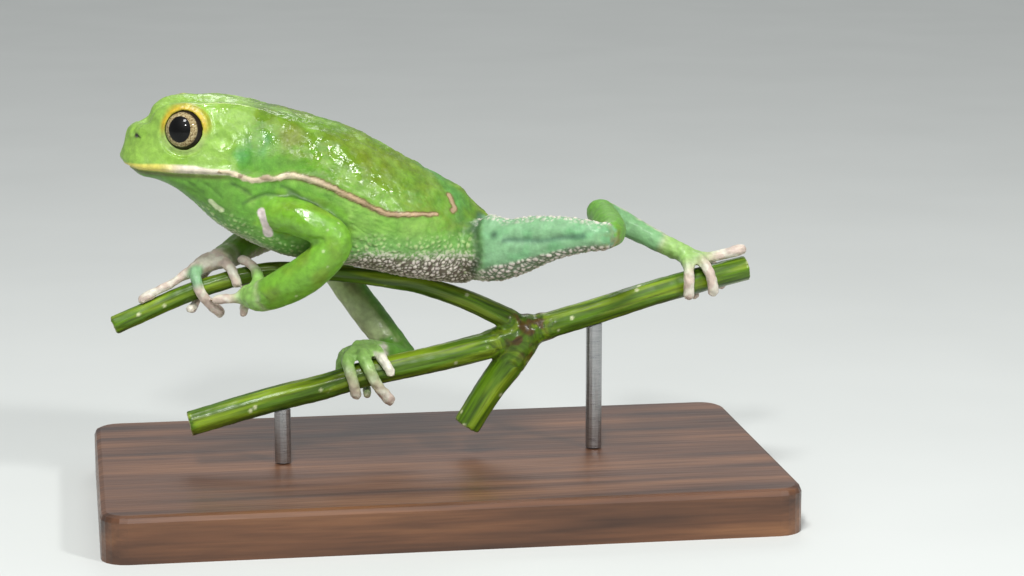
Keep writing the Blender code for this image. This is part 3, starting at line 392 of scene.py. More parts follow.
class Skin:
    """A surface as arrays that the sculpting and painting work on."""

    def __init__(self, thing, nodes, colour):
        mesh = thing.data
        self.thing = thing
        self.points = rows_of(mesh.vertices, "co")
        self.normals = rows_of(mesh.vertex_normals, "vector")
        flat = np.empty(len(mesh.edges) * 2, np.int32)
        mesh.edges.foreach_get("vertices", flat)
        self.edges = flat.reshape(-1, 2)
        self.counts = np.bincount(self.edges.ravel(), minlength=len(self.points))
        self.colour = np.tile(colour, (len(self.points), 1))
        self.wet = np.zeros(len(self.points))
        self.parts = self.nearest_nodes(nodes)

    def nearest_nodes(self, nodes):
        """The name of the CAD node nearest to each vertex."""
        rows = [rows_of(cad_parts[name].data.vertices, "co") for name in nodes]
        names = np.repeat(nodes, [len(part) for part in rows])
        tree = KDTree(len(names))
        for index, row in enumerate(np.vstack(rows)):
            tree.insert(row, index)
        tree.balance()
        return names[[tree.find(point)[1] for point in self.points]]

    def blur(self, values, rounds):
        """Spread values over the surface."""
        for _ in range(rounds):
            values = 0.5 * values + 0.5 * neighbour_mean(values, self.edges, self.counts)
        return values

    def on_nodes(self, *starts, soft=6):
        """A soft mask of the vertices on nodes whose names start so."""
        hard = np.zeros(len(self.points))
        for start in starts:
            hard[np.char.startswith(self.parts, start)] = 1.0
        return self.blur(hard, soft)

    def relax(self, rounds, strength, pulls=SPREAD_AND_KEEP):
        """Smooth the surface, more where strength is higher, and with hardly any shrinking by default."""
        for _ in range(rounds):
            for pull in pulls:
                offset = neighbour_mean(self.points, self.edges, self.counts) - self.points
                self.points += offset * (pull * strength)[:, None]
        self.commit()

    def commit(self):
        """Write the points to the mesh and read its normals again."""
        mesh = self.thing.data
        mesh.vertices.foreach_set("co", self.points.astype(np.float32).ravel())
        mesh.update()
        self.normals = rows_of(mesh.vertex_normals, "vector")

    def push(self, height):
        """Move each vertex out by its own height in metres."""
        self.points += self.normals * height[:, None]
        self.commit()

    def snapped(self, path):
        """A path's points, moved onto the surface."""
        return np.array([self.thing.closest_point_on_mesh(Vector(point))[1] for point in path])

    def along(self, path, reach=4.0 * MM):
        """Each vertex's distance from a path, infinite beyond the reach, and its share of the way along."""
        all_nearest = np.full(len(self.points), np.inf)
        all_share = np.zeros(len(self.points))
        inside = (self.points > path.min(axis=0) - reach).all(axis=1)
        inside &= (self.points < path.max(axis=0) + reach).all(axis=1)
        points = self.points[inside]
        nearest, share = all_nearest[inside], all_share[inside]
        for index, (start, end) in enumerate(zip(path, path[1:])):
            step = end - start
            t = np.clip((points - start) @ step / max(step @ step, 1e-18), 0, 1)
            distance = np.linalg.norm(points - start - t[:, None] * step, axis=1)
            closer = distance < nearest
            nearest[closer] = distance[closer]
            share[closer] = (index + t[closer]) / (len(path) - 1)
        all_nearest[inside], all_share[inside] = nearest, share
        return all_nearest, all_share

    def beside(self, points):
        """Each vertex's distance from a smooth path laid on the surface, and its share. Millimetres."""
        distance, share = self.along(self.snapped(smooth_path(points)))
        return distance / MM, share

    def away(self, place):
        """Each vertex's distance from a place. Millimetres."""
        return np.linalg.norm(self.points / MM - np.array(place), axis=1)

    def fold(self, points, height, width, fade=FADE):
        """Raise a fold, or sink a crease, along a path, and fade it at both ends. Millimetres."""
        distance, share = self.beside(points)
        ends = step_between(0, fade, np.minimum(share, 1 - share)) if fade else 1.0
        self.push(height * MM * bell(distance, width) * ends)

    def shade(self, points, width, colour, amount):
        """Paint a soft line along a path: painted shade in creases, grooves and the armpit. Millimetres."""
        self.paint(colour, bell(self.beside(points)[0], width) * amount)

    def band(self, points, half_width, colour, edge=None):
        """Paint a stripe along a path, with a darker edge where one is given. Millimetres."""
        distance = self.beside(points)[0]
        if edge is not None:
            self.paint(edge, bell(distance, 0.2, half_width + 0.1) * 0.8)
        self.paint(colour, step_between(half_width + 0.15, half_width - 0.12, distance))

    def up(self):
        """How far each vertex faces up, from -1 to 1."""
        return self.normals[:, 2]

    def noise(self, size, seed):
        """Smooth noise from 0 to 1 over the surface."""
        return noise_field(self.points, size, seed)

    def paint(self, colour, mask):
        """Lay one colour, or one for each vertex, over the skin where the mask says."""
        self.colour += (colour - self.colour) * np.clip(mask, 0, 1)[:, None]


# The skin's surface

def mirrored(point, side):
    """A point or direction on the given side, -1 for left and 1 for right."""
    return Vector((point[0], point[1] * side, point[2]))


def on_side(points, side):
    """A path on the given side."""
    return [(x, y * side, z) for x, y, z in points]


def lid_ring(side, around=48, across=12):
    """The rolled edge of one eye's lids, a round ring that closes them on the eyeball."""
    axis = mirrored(LID_AXIS, side)
    centre = mirrored(EYE_CENTRE, side) * MM + axis * LID_HEIGHT * MM
    turn = axis.to_track_quat("Z", "Y")
    mesh = bmesh.new()
    rings = []
    for i in range(around):
        angle = 2 * pi * i / around
        ring = []
        for j in range(across):
            lean = 2 * pi * j / across
            reach = LID_RING_RADIUS + LID_RING_THICKNESS * cos(lean)
            spot = Vector((reach * cos(angle), reach * sin(angle), LID_RING_THICKNESS * sin(lean)))
            ring.append(mesh.verts.new(centre + turn @ spot * MM))
        rings.append(ring)
    join_rings(mesh, rings, closed=True)
    bmesh.ops.recalc_face_normals(mesh, faces=mesh.faces)
    return finished(mesh, "lid_ring")


def closed_surface(name, nodes, extra_meshes, voxel):
    """One surface over several CAD nodes and other bodies, with the thin cuts between the nodes closed."""
    mesh = bmesh.new()
    for node_name in nodes:
        mesh.from_mesh(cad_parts[node_name].data)
    bmesh.ops.remove_doubles(mesh, verts=mesh.verts, dist=WELD)
    thing = add_object(name, finished(mesh, name))
    bake(thing, "DISPLACE", strength=CLOSING, mid_level=0.0)
    joined = bmesh.new()
    joined.from_mesh(thing.data)
    for extra in extra_meshes:
        joined.from_mesh(extra)
    joined.to_mesh(thing.data)
    joined.free()
    return bake(thing, "REMESH", mode="VOXEL", voxel_size=voxel, adaptivity=0.0)


def smooth_skin():
    """The skin's even surface, before any detail."""
    lids = [lid_ring(side) for side in SIDES]
    skin = Skin(closed_surface("frog_skin", FLESH, lids, SKIN_VOXEL), FLESH, SIDE_GREEN)
    digits = skin.on_nodes("hand", "foot", soft=20)
    skin.relax(SMOOTHING_ROUNDS, 1 - (1 - DIGIT_SMOOTHING) * digits)
    skin.push(np.full(len(skin.points), -CLOSING))
    fill_hips(skin)
    lay_finger(skin)
    return skin


def fill_hips(skin):
    """Let the rump run smoothly into the thighs."""
    for side in SIDES:
        corner = on_side(HIP_CORNER, side)
        skin.fold(corner, *HIP_FILL)
        near = step_between(HIP_RADIUS, HIP_RADIUS * 0.4, skin.away(corner[1]))
        skin.relax(HIP_SMOOTHING, near, SPREAD_ONLY)


def lay_finger(skin):
    """Lower the right hand's long finger onto the stem."""
    drop = np.interp(skin.points[:, 0] / MM, *np.array(FINGER_DROP).T)
    skin.points[:, 2] -= drop * skin.on_nodes("hand_right", soft=2) * MM
    skin.commit()


def mouth_height(points):
    """How far each point is above the mouth line, in millimetres."""
    (x1, z1), (x2, z2) = MOUTH_FRONT, MOUTH_CORNER
    x = points[:, 0] / MM
    return points[:, 2] / MM - (z1 + (x - x1) * (z2 - z1) / (x2 - x1))


def carve_mouth(skin):
    """The mouth line, a groove between rounded lips, deeper under the upper lip."""
    height = mouth_height(skin.points)
    x = skin.points[:, 0] / MM
    face = skin.on_nodes("head", "lower_jaw", "torso", soft=4) * (1 - step_between(-41.0, -38.5, x))
    profile = sum(rise * bell(height, width, place) for rise, width, place in MOUTH_PROFILE)
    skin.push(profile * face * MM)


def sculpt_folds(skin, folds, sides=SIDES):
    """Raise or sink every fold of a table, on the given sides."""
    for side in sides:
        for path, *shape in folds:
            skin.fold(on_side(path, side), *shape)


def cell_height(points, size):
    """Rounded grains about so many millimetres across: 0 in the grooves between them, 1 on their tops."""
    near = np.array([noise.voronoi(point / (size * MM))[0] for point in points])
    return step_between(0.0, GRAIN_EDGE, near[:, 1] - near[:, 0])


def speck_mask(points, size):
    """Small scattered dots, about so many millimetres apart, some of them left out."""
    mask = np.zeros(len(points))
    for index, point in enumerate(points):
        near, spots = noise.voronoi(point / (size * MM))
        if noise.noise(spots[0] * 5.3) > 0.15:
            mask[index] = step_between(0.2, 0.1, near[0])
    return mask


def noise_field(points, size, seed):
    """Smooth noise from 0 to 1 with features about so many millimetres across."""
    scale = 1.0 / (size * MM)
    shift = Vector((seed, seed * 1.7, seed * 2.3))
    return np.array([noise.noise(Vector(point) * scale + shift) for point in points]) * 0.5 + 0.5


class Regions:
    """Soft masks of the frog's regions, which both the granules and the colours use."""

    def __init__(self, skin):
        x, y, z = (skin.points / MM).T
        up = skin.up()
        self.x, self.y, self.z = x, y, z
        thighs = step_between(*THIGH_START, x)
        self.left_thigh = skin.on_nodes("thigh_left") * thighs
        right_thigh = skin.on_nodes("thigh_right") * thighs
        hips = skin.on_nodes("thigh_left", "thigh_right") * (1 - thighs)
        self.trunk = np.clip(skin.on_nodes("torso", "head", "lower_jaw") + hips, 0, 1)
        self.torso = np.clip(skin.on_nodes("torso") + hips, 0, 1)
        below = np.interp(x, *np.array(BELLY_LINE).T) - z
        self.belly = np.clip(skin.on_nodes("torso", soft=3) + hips, 0, 1) * step_between(-1.8, 1.6, below)
        self.low_flank = self.torso * step_between(-5.5, -1.0, below)
        under = np.interp(x, *np.array(THIGH_UNDER).T)
        self.thigh_under = self.left_thigh * step_between(-0.3, 0.6, under - z)
        self.thigh_under += right_thigh * step_between(0.2, 0.6, -up)
        self.thigh_top = self.left_thigh * step_between(0.72, 0.95, up)
        self.forearm_under = skin.on_nodes("forearm_right", "upper_arm_right", soft=4)
        self.forearm_under *= step_between(0.0, 0.5, -up)
        self.back = self.trunk * step_between(0.0, 0.7, up)


def sculpt_granules(skin, regions):
    """Granules on the belly, thighs and lower flank, and a fine grain on the back. Returns their heights."""
    flank = regions.low_flank * (1 - regions.belly)
    thigh = np.maximum(regions.thigh_under, regions.thigh_top)
    rest = regions.trunk * (1 - regions.belly) * (1 - regions.low_flank)
    granules = np.zeros(len(skin.points))
    height = np.zeros(len(skin.points))
    for mask, (size, rise) in ((regions.belly, BELLY_GRANULE), (flank, FLANK_GRANULE),
                               (thigh, THIGH_GRANULE), (regions.forearm_under, ARM_GRANULE)):
        chosen = mask > FAINTEST
        cells = cell_height(skin.points[chosen], size)
        granules[chosen] = np.maximum(granules[chosen], cells * np.clip(3 * mask[chosen], 0, 1))
        height[chosen] += cells * mask[chosen] * rise
    chosen = rest > FAINTEST
    grain = cell_height(skin.points[chosen], BACK_GRAIN)
    height[chosen] += grain * rest[chosen] * (0.02 + 0.04 * regions.back[chosen])
    skin.push(height * MM)
    return granules


def sculpt_lumps(skin, regions):
    """Uneven skin: low lumps on the trunk and limbs, larger warts along the back, and uneven digits."""
    broad = skin.noise(2.6, 51.0) - 0.5
    fine = skin.noise(1.1, 61.0) - 0.5
    torso_back = regions.back * step_between(-36.0, -28.0, regions.x)
    digits = skin.on_nodes("hand", "foot", soft=4)
    limbs = skin.on_nodes("upper_arm", "forearm", "thigh", "shank", "tarsus")
    height = broad * (0.22 * regions.trunk + 0.32 * torso_back + 0.25 * limbs)
    height += fine * (0.08 * regions.trunk + 0.20 * torso_back + 0.10 * limbs + 0.34 * digits)
    skin.push(height * MM)


def sculpt_wrinkles(skin, regions):
    """Fine wavy wrinkles that run back along the flank."""
    along = regions.x * 0.93 - regions.z * 0.37
    across = regions.x * 0.37 + regions.z * 0.93
    mask = regions.torso * (1 - regions.belly) * step_between(-3.0, -10.0, regions.x)
    mask *= step_between(-26.0, -22.0, regions.x) * step_between(0.5, -0.2, skin.up())
    chosen = np.flatnonzero(mask > FAINTEST)
    rows = np.stack([along * 0.16, across * 1.25, regions.y * 0.4], axis=1)[chosen]
    ridges = np.array([abs(noise.noise(Vector(row))) for row in rows])
    height = np.zeros(len(skin.points))
    height[chosen] = -0.16 * (1 - step_between(0.0, 0.16, ridges)) * mask[chosen]
    skin.push(height * MM)


# The skin's colours

def paint_trunk(skin, regions, granules):
    """Greens of the back, flank, head and belly, and painted shade on the jaw and between granules."""
    up = skin.up()
    blotch = skin.noise(6.0, 3.0)
    patch = skin.noise(3.0, 11.0)
    head = skin.on_nodes("head", "lower_jaw", soft=40)
    skin.paint(BACK_GREEN, regions.trunk * step_between(-0.1, 0.5, up))
    skin.paint(OLIVE, regions.torso * step_between(0.2, 0.7, up) * step_between(0.4, 0.62, blotch) * 0.6)
    skin.paint(DEEP_GREEN, regions.trunk * step_between(0.42, 0.75, patch) * 0.3)
    skin.paint(PALE_GREEN, regions.trunk * step_between(0.5, 0.25, patch) * 0.35)
    skin.paint(HEAD_GREEN, head * 0.85)
    uneven = 0.5 + step_between(0.4, 0.6, patch)
    for centre, radius, colour, amount in PATCHES:
        for side in SIDES:
            skin.paint(colour, bell(skin.away(mirrored(centre, side)), radius) * amount * uneven)
    # Painted shade on the lower jaw, under the upper lip: a darker copy of the side green
    jaw = step_between(0.3, -0.8, mouth_height(skin.points)) * step_between(-36, -42, regions.x)
    skin.paint(SIDE_GREEN * 0.8, regions.trunk * jaw)
    skin.paint(BELLY_GREEN, regions.low_flank * 0.8)
    bumps = regions.low_flank * (1 - regions.belly) * step_between(0.5, 1.0, granules)
    skin.paint(GRANULE_GREEN, bumps * 0.85)
    # Painted shade in the gaps between the belly's granules
    skin.paint(GAP_SHADE, regions.belly ** 3 * (1 - granules) * 0.95)
    skin.paint(GRANULE_PALE, regions.belly * step_between(0.15, 0.7, granules))


def paint_lips(skin, regions):
    """The pale upper lip, yellower towards the snout, with a shade under the mouth line."""
    height = mouth_height(skin.points)
    top = np.interp(regions.x, *np.array(LIP_TOP).T)
    lip = regions.trunk * step_between(top + 0.25, top - 0.15, height) * step_between(-0.15, 0.15, height)
    shade = regions.trunk * bell(height, 0.55, -0.45) * step_between(-38.5, -42.0, regions.x)
    front = step_between(-48.0, -53.5, regions.x)[:, None]
    skin.paint(LIP_SHADE, shade * 0.8)
    skin.paint(LIP_WHITE + (LIP_YELLOW - LIP_WHITE) * front, lip * step_between(-38.0, -40.0, regions.x))


def paint_stripes(skin):
    """The pale flank stripe, the hook by the hip, the throat's patch and the bar on the arm."""
    gaps = step_between(0.54, 0.62, skin.noise(1.5, 91.0))
    uneven = skin.noise(1.0, 95.0) - 0.5
    for side in SIDES:
        distance, share = skin.beside(on_side(STRIPE, side))
        distance = distance + uneven * 0.5
        half = np.interp(share, *STRIPE_HALF_WIDTH)
        skin.paint(STRIPE_EDGE, bell(distance, 0.22, half + 0.12) * step_between(0.2, 0.6, share))
        rearward = step_between(0.45, 0.7, share)[:, None]
        mask = step_between(half + 0.15, half - 0.1, distance)
        skin.paint(STRIPE_CREAM + (STRIPE_PINK - STRIPE_CREAM) * rearward, mask)
        skin.paint(STRIPE_EDGE, mask * gaps * step_between(0.4, 0.25, share) * 0.7)
        skin.band(on_side(HOOK, side), 0.42, STRIPE_PINK * 0.8, STRIPE_EDGE)
        skin.band(on_side(THROAT_PATCH, side), 0.55, SPECK_WHITE)
        # Painted shade in the armpit and along the shoulder creases
        skin.shade(on_side(ARMPIT_SHADE, side), 0.9, SHADE_GREEN, 0.7)
        for crease in SHOULDER_CREASES:
            skin.shade(on_side(crease, side), 0.35, SHADE_GREEN, 0.5)
    skin.band(ARM_BAR, 0.9, BAR_LILAC)


def paint_lids(skin):
    """Yellow upper lids, pale lower ones, painted shade in nostrils and at lid edges, a pale brow line."""
    for side in SIDES:
        axis = np.array(mirrored(LID_AXIS, side))
        offset = skin.points / MM - np.array(mirrored(EYE_CENTRE, side))
        depth = offset @ axis
        radial = offset - depth[:, None] * axis
        reach = np.linalg.norm(radial, axis=1)
        back, _, rise = radial.T / np.maximum(reach, 1e-6)
        rim = step_between(0.5, 1.5, depth)
        ring = bell(reach, *LID_BAND) * rim
        halo = bell(reach, *LID_HALO) * step_between(0.2, 0.8, rise + 0.4 * back)
        skin.paint(LID_YELLOW, ring * step_between(-0.5, 0.35, rise))
        skin.paint(LID_PALE, ring * step_between(0.1, -0.6, rise) * 0.5)
        # Painted shade along the lids' inner edge, against the eyeball
        skin.paint(LIP_SHADE * 0.4, step_between(*LID_EDGE_SHADE, reach) * rim)
        skin.paint(LID_YELLOW * 0.9, halo * step_between(0.3, 1.2, depth) * 0.5)
        # Painted shade in the nostrils
        skin.paint(GAP_SHADE * 0.15, bell(skin.away(mirrored(NOSTRIL[0], side)), NOSTRIL_RADIUS) * 1.5)
        skin.band(on_side(BROW_RIDGE[2:5], side), 0.12, BROW_PALE)


def paint_limbs(skin, regions, granules):
    """Greens of the limbs, the blue-green thigh, the brownish knee, and painted shade on thigh and shank."""
    ahead, _, up = skin.normals.T
    patch = skin.noise(4.0, 21.0)
    arms = skin.on_nodes("upper_arm", "forearm")
    skin.paint(ARM_GREEN, arms)
    skin.paint(OLIVE, arms * step_between(0.45, 0.7, patch) * 0.5)
    skin.paint(SIDE_GREEN, skin.on_nodes("shank", "tarsus"))
    skin.paint(BACK_GREEN, skin.on_nodes("thigh_right"))
    skin.paint(THIGH_BLUE, regions.left_thigh)
    skin.paint(TEAL_GREEN, regions.left_thigh * step_between(0.5, 0.68, patch) * 0.35)
    # Painted shade at the thigh's root, along its groove and along its root
    skin.paint(SHADE_BLUE * 0.5, bell(skin.away(THIGH_ROOT_SHADE), 0.8) * 0.8)
    skin.shade(THIGH_GROOVE, 0.6, SHADE_BLUE, 0.6)
    skin.shade(THIGH_ROOT, 1.1, SHADE_GREEN, 0.75)
    pale = np.maximum(regions.thigh_under, regions.thigh_top * 0.9)
    # Painted shade in the gaps between the thigh's granules
    skin.paint(GAP_SHADE, regions.thigh_under * (1 - granules) * 0.6)
    skin.paint(GRANULE_PALE, pale * step_between(0.1, 0.6, granules))
    mottle = skin.noise(1.2, 31.0)
    skin.paint(KNEE_BROWN, bell(skin.away(KNEE), 2.4) * step_between(0.42, 0.6, mottle))
    skin.paint(DIGIT_PINK * 0.75, regions.forearm_under * (0.4 + 0.6 * granules))
    shank = skin.on_nodes("shank_right")
    low = step_between(40.0, 35.0, regions.z)
    skin.paint(SHANK_PALE, shank * step_between(0.6, -0.2, ahead))
    # Painted shadow across the upper part of the right shank, under the belly and the stem
    skin.paint(SHANK_SHADOW, shank * bell(ahead, 0.35, -0.05) * step_between(35.0, 42.0, regions.z) * 0.75)
    skin.paint(SPECK_WHITE, shank * low * step_between(0.4, -0.2, ahead) * 0.5)
    tarsus = skin.on_nodes("tarsus_left")
    skin.paint(THIGH_BLUE, tarsus * 0.8)
    skin.paint(LIP_WHITE, tarsus * step_between(0.75, 0.95, up) * 0.8)


def paint_digits(skin, regions):
    """Pinkish digits whose backs stay green near the wrist or ankle."""
    mottle = skin.noise(1.6, 41.0)
    hands = skin.on_nodes("hand", "foot", soft=24)
    skin.paint(DIGIT_PINK, hands)
    skin.paint(DIGIT_WHITE, hands * step_between(0.45, 0.65, mottle) * 0.8)
    for name, root, near, far, colour, amount in DIGIT_ROOTS:
        skin.paint(colour, skin.on_nodes(name, soft=24) * step_between(far, near, skin.away(root)) * amount)
    z = regions.z
    toe = step_between(-0.3, 0.3, regions.x - (-12.0 + (30.0 - z) * 0.35)) * step_between(25.2, 25.8, z)
    skin.paint(DIGIT_WHITE, toe * step_between(31.2, 30.4, z) * skin.on_nodes("foot_right", soft=2))


def wet_skin(skin):
    """Where the skin is wettest: ragged patches on the head, shoulders and flanks."""
    ragged = step_between(0.40, 0.52, skin.noise(1.9, 81.0))
    for centre, radius in WET_PATCHES:
        for side in SIDES:
            skin.wet = np.maximum(skin.wet, bell(skin.away(mirrored(centre, side)), radius) * ragged)
    skin.wet = np.clip(skin.wet * 1.6, 0, 1)


def paint_specks(skin, regions):
    """Small pale dots scattered on the arms and lower flank."""
    arms = skin.on_nodes("upper_arm_left", "forearm_left", soft=2)
    chosen = (arms + regions.low_flank) > 0.2
    dots = np.zeros(len(skin.points))
    dots[chosen] = speck_mask(skin.points[chosen], 2.1)
    skin.paint(SPECK_WHITE, dots * 0.6)


# Materials, with the colour sockets of a mix node by number, as their names repeat

MIX_FIRST, MIX_SECOND, MIX_RESULT = 6, 7, 2


def new_material(name):
    """A node material, its tree, its shader, and coordinates of the object's own shape in metres."""
    made = bpy.data.materials.new(name)
    made.use_nodes = True
    tree = made.node_tree
    return made, tree, tree.nodes["Principled BSDF"], tree.nodes.new("ShaderNodeTexCoord").outputs["Object"]


def fill(tree, made, values):
    """Give a shader node's inputs their values, colours or links."""
    for key, value in values.items():
        socket = made.inputs[key]
        if isinstance(value, bpy.types.NodeSocket):
            tree.links.new(value, socket)
        elif socket.type == "RGBA":
            socket.default_value = (*value, 1)
        else:
            socket.default_value = value


def node(tree, kind, values=None, **settings):
    """A shader node with some settings and inputs."""
    made = tree.nodes.new(kind)
    for key, value in settings.items():
        setattr(made, key, value)
    fill(tree, made, values or {})
    return made


def noise_node(tree, vector, size, detail=3.0, stretch=(1, 1, 1)):
    """Noise whose features are about so many millimetres across."""
    scale = [value / (size * MM) for value in stretch]
    mapped = node(tree, "ShaderNodeMapping", {"Vector": vector, "Scale": scale}).outputs["Vector"]
    made = node(tree, "ShaderNodeTexNoise", {"Vector": mapped, "Scale": 1.0, "Detail": detail})
    return made.outputs["Fac"]


def ramp(tree, value, stops):
    """A colour or grey ramp from (position, colour) stops."""
    made = node(tree, "ShaderNodeValToRGB", {"Fac": value})
    band = made.color_ramp
    while len(band.elements) < len(stops):
        band.elements.new(0.5)
    for element, (position, colour) in zip(band.elements, stops):
        element.position = position
        shade = (colour,) * 3 if isinstance(colour, (int, float)) else tuple(colour)
        element.color = (*shade, 1)
    return made.outputs["Color"]


def mixed(tree, factor, one, two, blend="MIX"):
    """Two colours mixed by a factor; each may be a socket or a value."""
    made = node(tree, "ShaderNodeMix", data_type="RGBA", blend_type=blend)
    fill(tree, made, {"Factor": factor, MIX_FIRST: one, MIX_SECOND: two})
    return made.outputs[MIX_RESULT]


def bump(tree, height, strength, distance, shader, below=None):
    """A bump from a height, laid on the shader's normal; returns its normal."""
    values = {"Height": height, "Strength": strength, "Distance": distance * MM}
    made = node(tree, "ShaderNodeBump", values if below is None else {**values, "Normal": below})
    fill(tree, shader, {"Normal": made.outputs["Normal"]})
    return made.outputs["Normal"]


def skin_material():
    """Moist green skin, coloured by what was painted on the surface, with fine mottling and pores."""
    made, tree, shader, vector = new_material("frog_skin")
    painted = node(tree, "ShaderNodeAttribute", attribute_name="skin_colour")
    mottle = ramp(tree, noise_node(tree, vector, 1.3, 6.0), [(0.3, SKIN_TONE * 0.8), (0.7, SKIN_TONE * 1.2)])
    colour = mixed(tree, 1.0, painted.outputs["Color"], mottle, "MULTIPLY")
    pores = node(tree, "ShaderNodeTexVoronoi", {"Vector": vector, "Scale": 1 / (0.38 * MM)})
    first = bump(tree, pores.outputs["Distance"], 0.5, 0.05, shader)
    bump(tree, noise_node(tree, vector, 0.7, 5.0), 0.6, 0.10, shader, first)
    dry = ramp(tree, noise_node(tree, vector, 3.0, 3.0), [(0.4, 0.62), (0.6, 0.48)])
    shine = mixed(tree, painted.outputs["Alpha"], dry, (0.14, 0.14, 0.14))
    fill(tree, shader, {
        "Base Color": colour,
        "Roughness": shine,
        "Specular IOR Level": 0.5,
        "Coat Weight": 0.15,
        "Coat Roughness": 0.2,
        "Subsurface Weight": 0.06,
        "Subsurface Radius": (0.6, 1.0, 0.4),
        "Subsurface Scale": 1.0 * MM,
    })
    return made


def ellipse_distance(tree, vector, half_width, half_height):
    """Distance from the Z axis, as 1 on an ellipse of that size in millimetres."""
    scale = (1 / (half_width * MM), 1 / (half_height * MM), 0)
    mapped = node(tree, "ShaderNodeMapping", {"Vector": vector, "Scale": scale}).outputs["Vector"]
    return node(tree, "ShaderNodeVectorMath", {0: mapped}, operation="LENGTH").outputs["Value"]


def eye_material():
    """A beige iris with brown flecks round an upright black pupil, inside a dark rim, under a wet cornea."""
    made, tree, shader, vector = new_material("frog_eye")
    pupil = ellipse_distance(tree, vector, *PUPIL_HALF_SIZE)
    iris = ellipse_distance(tree, vector, *IRIS_HALF_SIZE)
    flecks = noise_node(tree, vector, 0.32, 5.0)
    colour = ramp(tree, flecks, [(0.34, srgb(84, 62, 34)), (0.45, srgb(142, 124, 86)),
                                 (0.6, srgb(176, 162, 122)), (0.75, srgb(194, 184, 154))])
    # Iris darkening towards its edge and dark rim: the eye's own dark edge, with painted shade under the lids
    shade = ramp(tree, iris, [(0.55, 0.62), (0.72, 0.95), (0.9, 1.0), (1.0, 0.5)])
    colour = mixed(tree, 1.0, colour, shade, "MULTIPLY")
    rim = ramp(tree, iris, [(0.965, 0.0), (1.0, 1.0)])
    colour = mixed(tree, rim, colour, srgb(26, 18, 10))
    hole = ramp(tree, pupil, [(0.985, 1.0), (1.02, 0.0)])
    colour = mixed(tree, hole, colour, srgb(3, 3, 3))
    fill(tree, shader, {"Base Color": colour, "Roughness": 0.5, "Specular IOR Level": 0.1})
    fill(tree, shader, {"Coat Weight": 0.6, "Coat Roughness": 0.02, "Coat IOR": 1.33})
    bump(tree, flecks, 0.25, 0.04, shader)
    return made


def stem_material():
    """Fresh glossy stem, olive green with lengthwise streaks."""
    made, tree, shader, vector = new_material("stem")
    painted = node(tree, "ShaderNodeAttribute", attribute_name="stem_colour")
    place = node(tree, "ShaderNodeAttribute", attribute_name="stem_place")
    streaks = noise_node(tree, place.outputs["Vector"], 0.55, 4.0, stretch=(0.06, 1, 1))
    tint = ramp(tree, streaks, [(0.32, 0.38), (0.5, 0.7), (0.7, 1.0)])
    colour = mixed(tree, 1.0, painted.outputs["Color"], tint, "MULTIPLY")
    first = bump(tree, streaks, 0.6, 0.12, shader)
    bump(tree, noise_node(tree, vector, 0.5, 3.0), 0.2, 0.05, shader, first)
    rough = ramp(tree, streaks, [(0.3, 0.42), (0.7, 0.26)])
    fill(tree, shader, {"Base Color": colour, "Roughness": rough})
    fill(tree, shader, {"Specular IOR Level": 0.3, "Coat Weight": 0.15, "Coat Roughness": 0.15})
    return made


def wood_material():
    """Dark varnished wood with grain along the base."""
    made, tree, shader, vector = new_material("base_wood")
    grain = noise_node(tree, vector, 5.0, 6.0, stretch=(0.07, 1, 1))
    fine = noise_node(tree, vector, 0.7, 4.0, stretch=(0.04, 1, 1))
    colour = ramp(tree, grain, [(0.3, srgb(58, 34, 20)), (0.5, srgb(98, 62, 38)), (0.7, srgb(128, 86, 54))])
    colour = mixed(tree, 0.5, colour, ramp(tree, fine, [(0.35, 0.55), (0.6, 1.0)]), "MULTIPLY")
    bump(tree, fine, 0.25, 0.06, shader)
    rough = ramp(tree, fine, [(0.3, 0.5), (0.7, 0.36)])
    fill(tree, shader, {"Base Color": colour, "Roughness": rough})
    fill(tree, shader, {"Coat Weight": 0.25, "Coat Roughness": 0.25})
    return made


def steel_material():
    """Brushed steel with fine rings round each rod."""
    made, tree, shader, vector = new_material("rod_steel")
    brushed = noise_node(tree, vector, 0.12, 3.0, stretch=(0.05, 0.05, 1))
    colour = ramp(tree, brushed, [(0.3, srgb(150, 152, 154)), (0.7, srgb(190, 190, 190))])
    rough = ramp(tree, brushed, [(0.3, 0.26), (0.7, 0.4)])
    fill(tree, shader, {"Base Color": colour, "Metallic": 1.0, "Roughness": rough})
    bump(tree, brushed, 0.2, 0.02, shader)
    return made


def floor_material():
    """Plain pale matt floor."""
    made, tree, shader, vector = new_material("floor")
    tone = ramp(tree, noise_node(tree, vector, 60.0, 2.0),
                [(0.3, srgb(203, 206, 203)), (0.7, srgb(206, 209, 206))])
    fill(tree, shader, {"Base Color": tone, "Roughness": 0.85})
    return made


def give(thing, material):
    """Make a material the only one on a thing."""
    thing.data.materials.clear()
    thing.data.materials.append(material)


# Pieces

def store(mesh, name, kind, key, rows):
    """Keep rows of values on a mesh's vertices, for a material to read."""
    mesh.attributes.new(name, kind, "POINT").data.foreach_set(key, rows.astype(np.float32).ravel())


def write_colours(surface, name):
    """Store each vertex's colour, with its wetness as the fourth value."""
    rows = np.hstack([np.clip(surface.colour, 0, 1), surface.wet[:, None]])
    store(surface.thing.data, name, "FLOAT_COLOR", "color", rows)


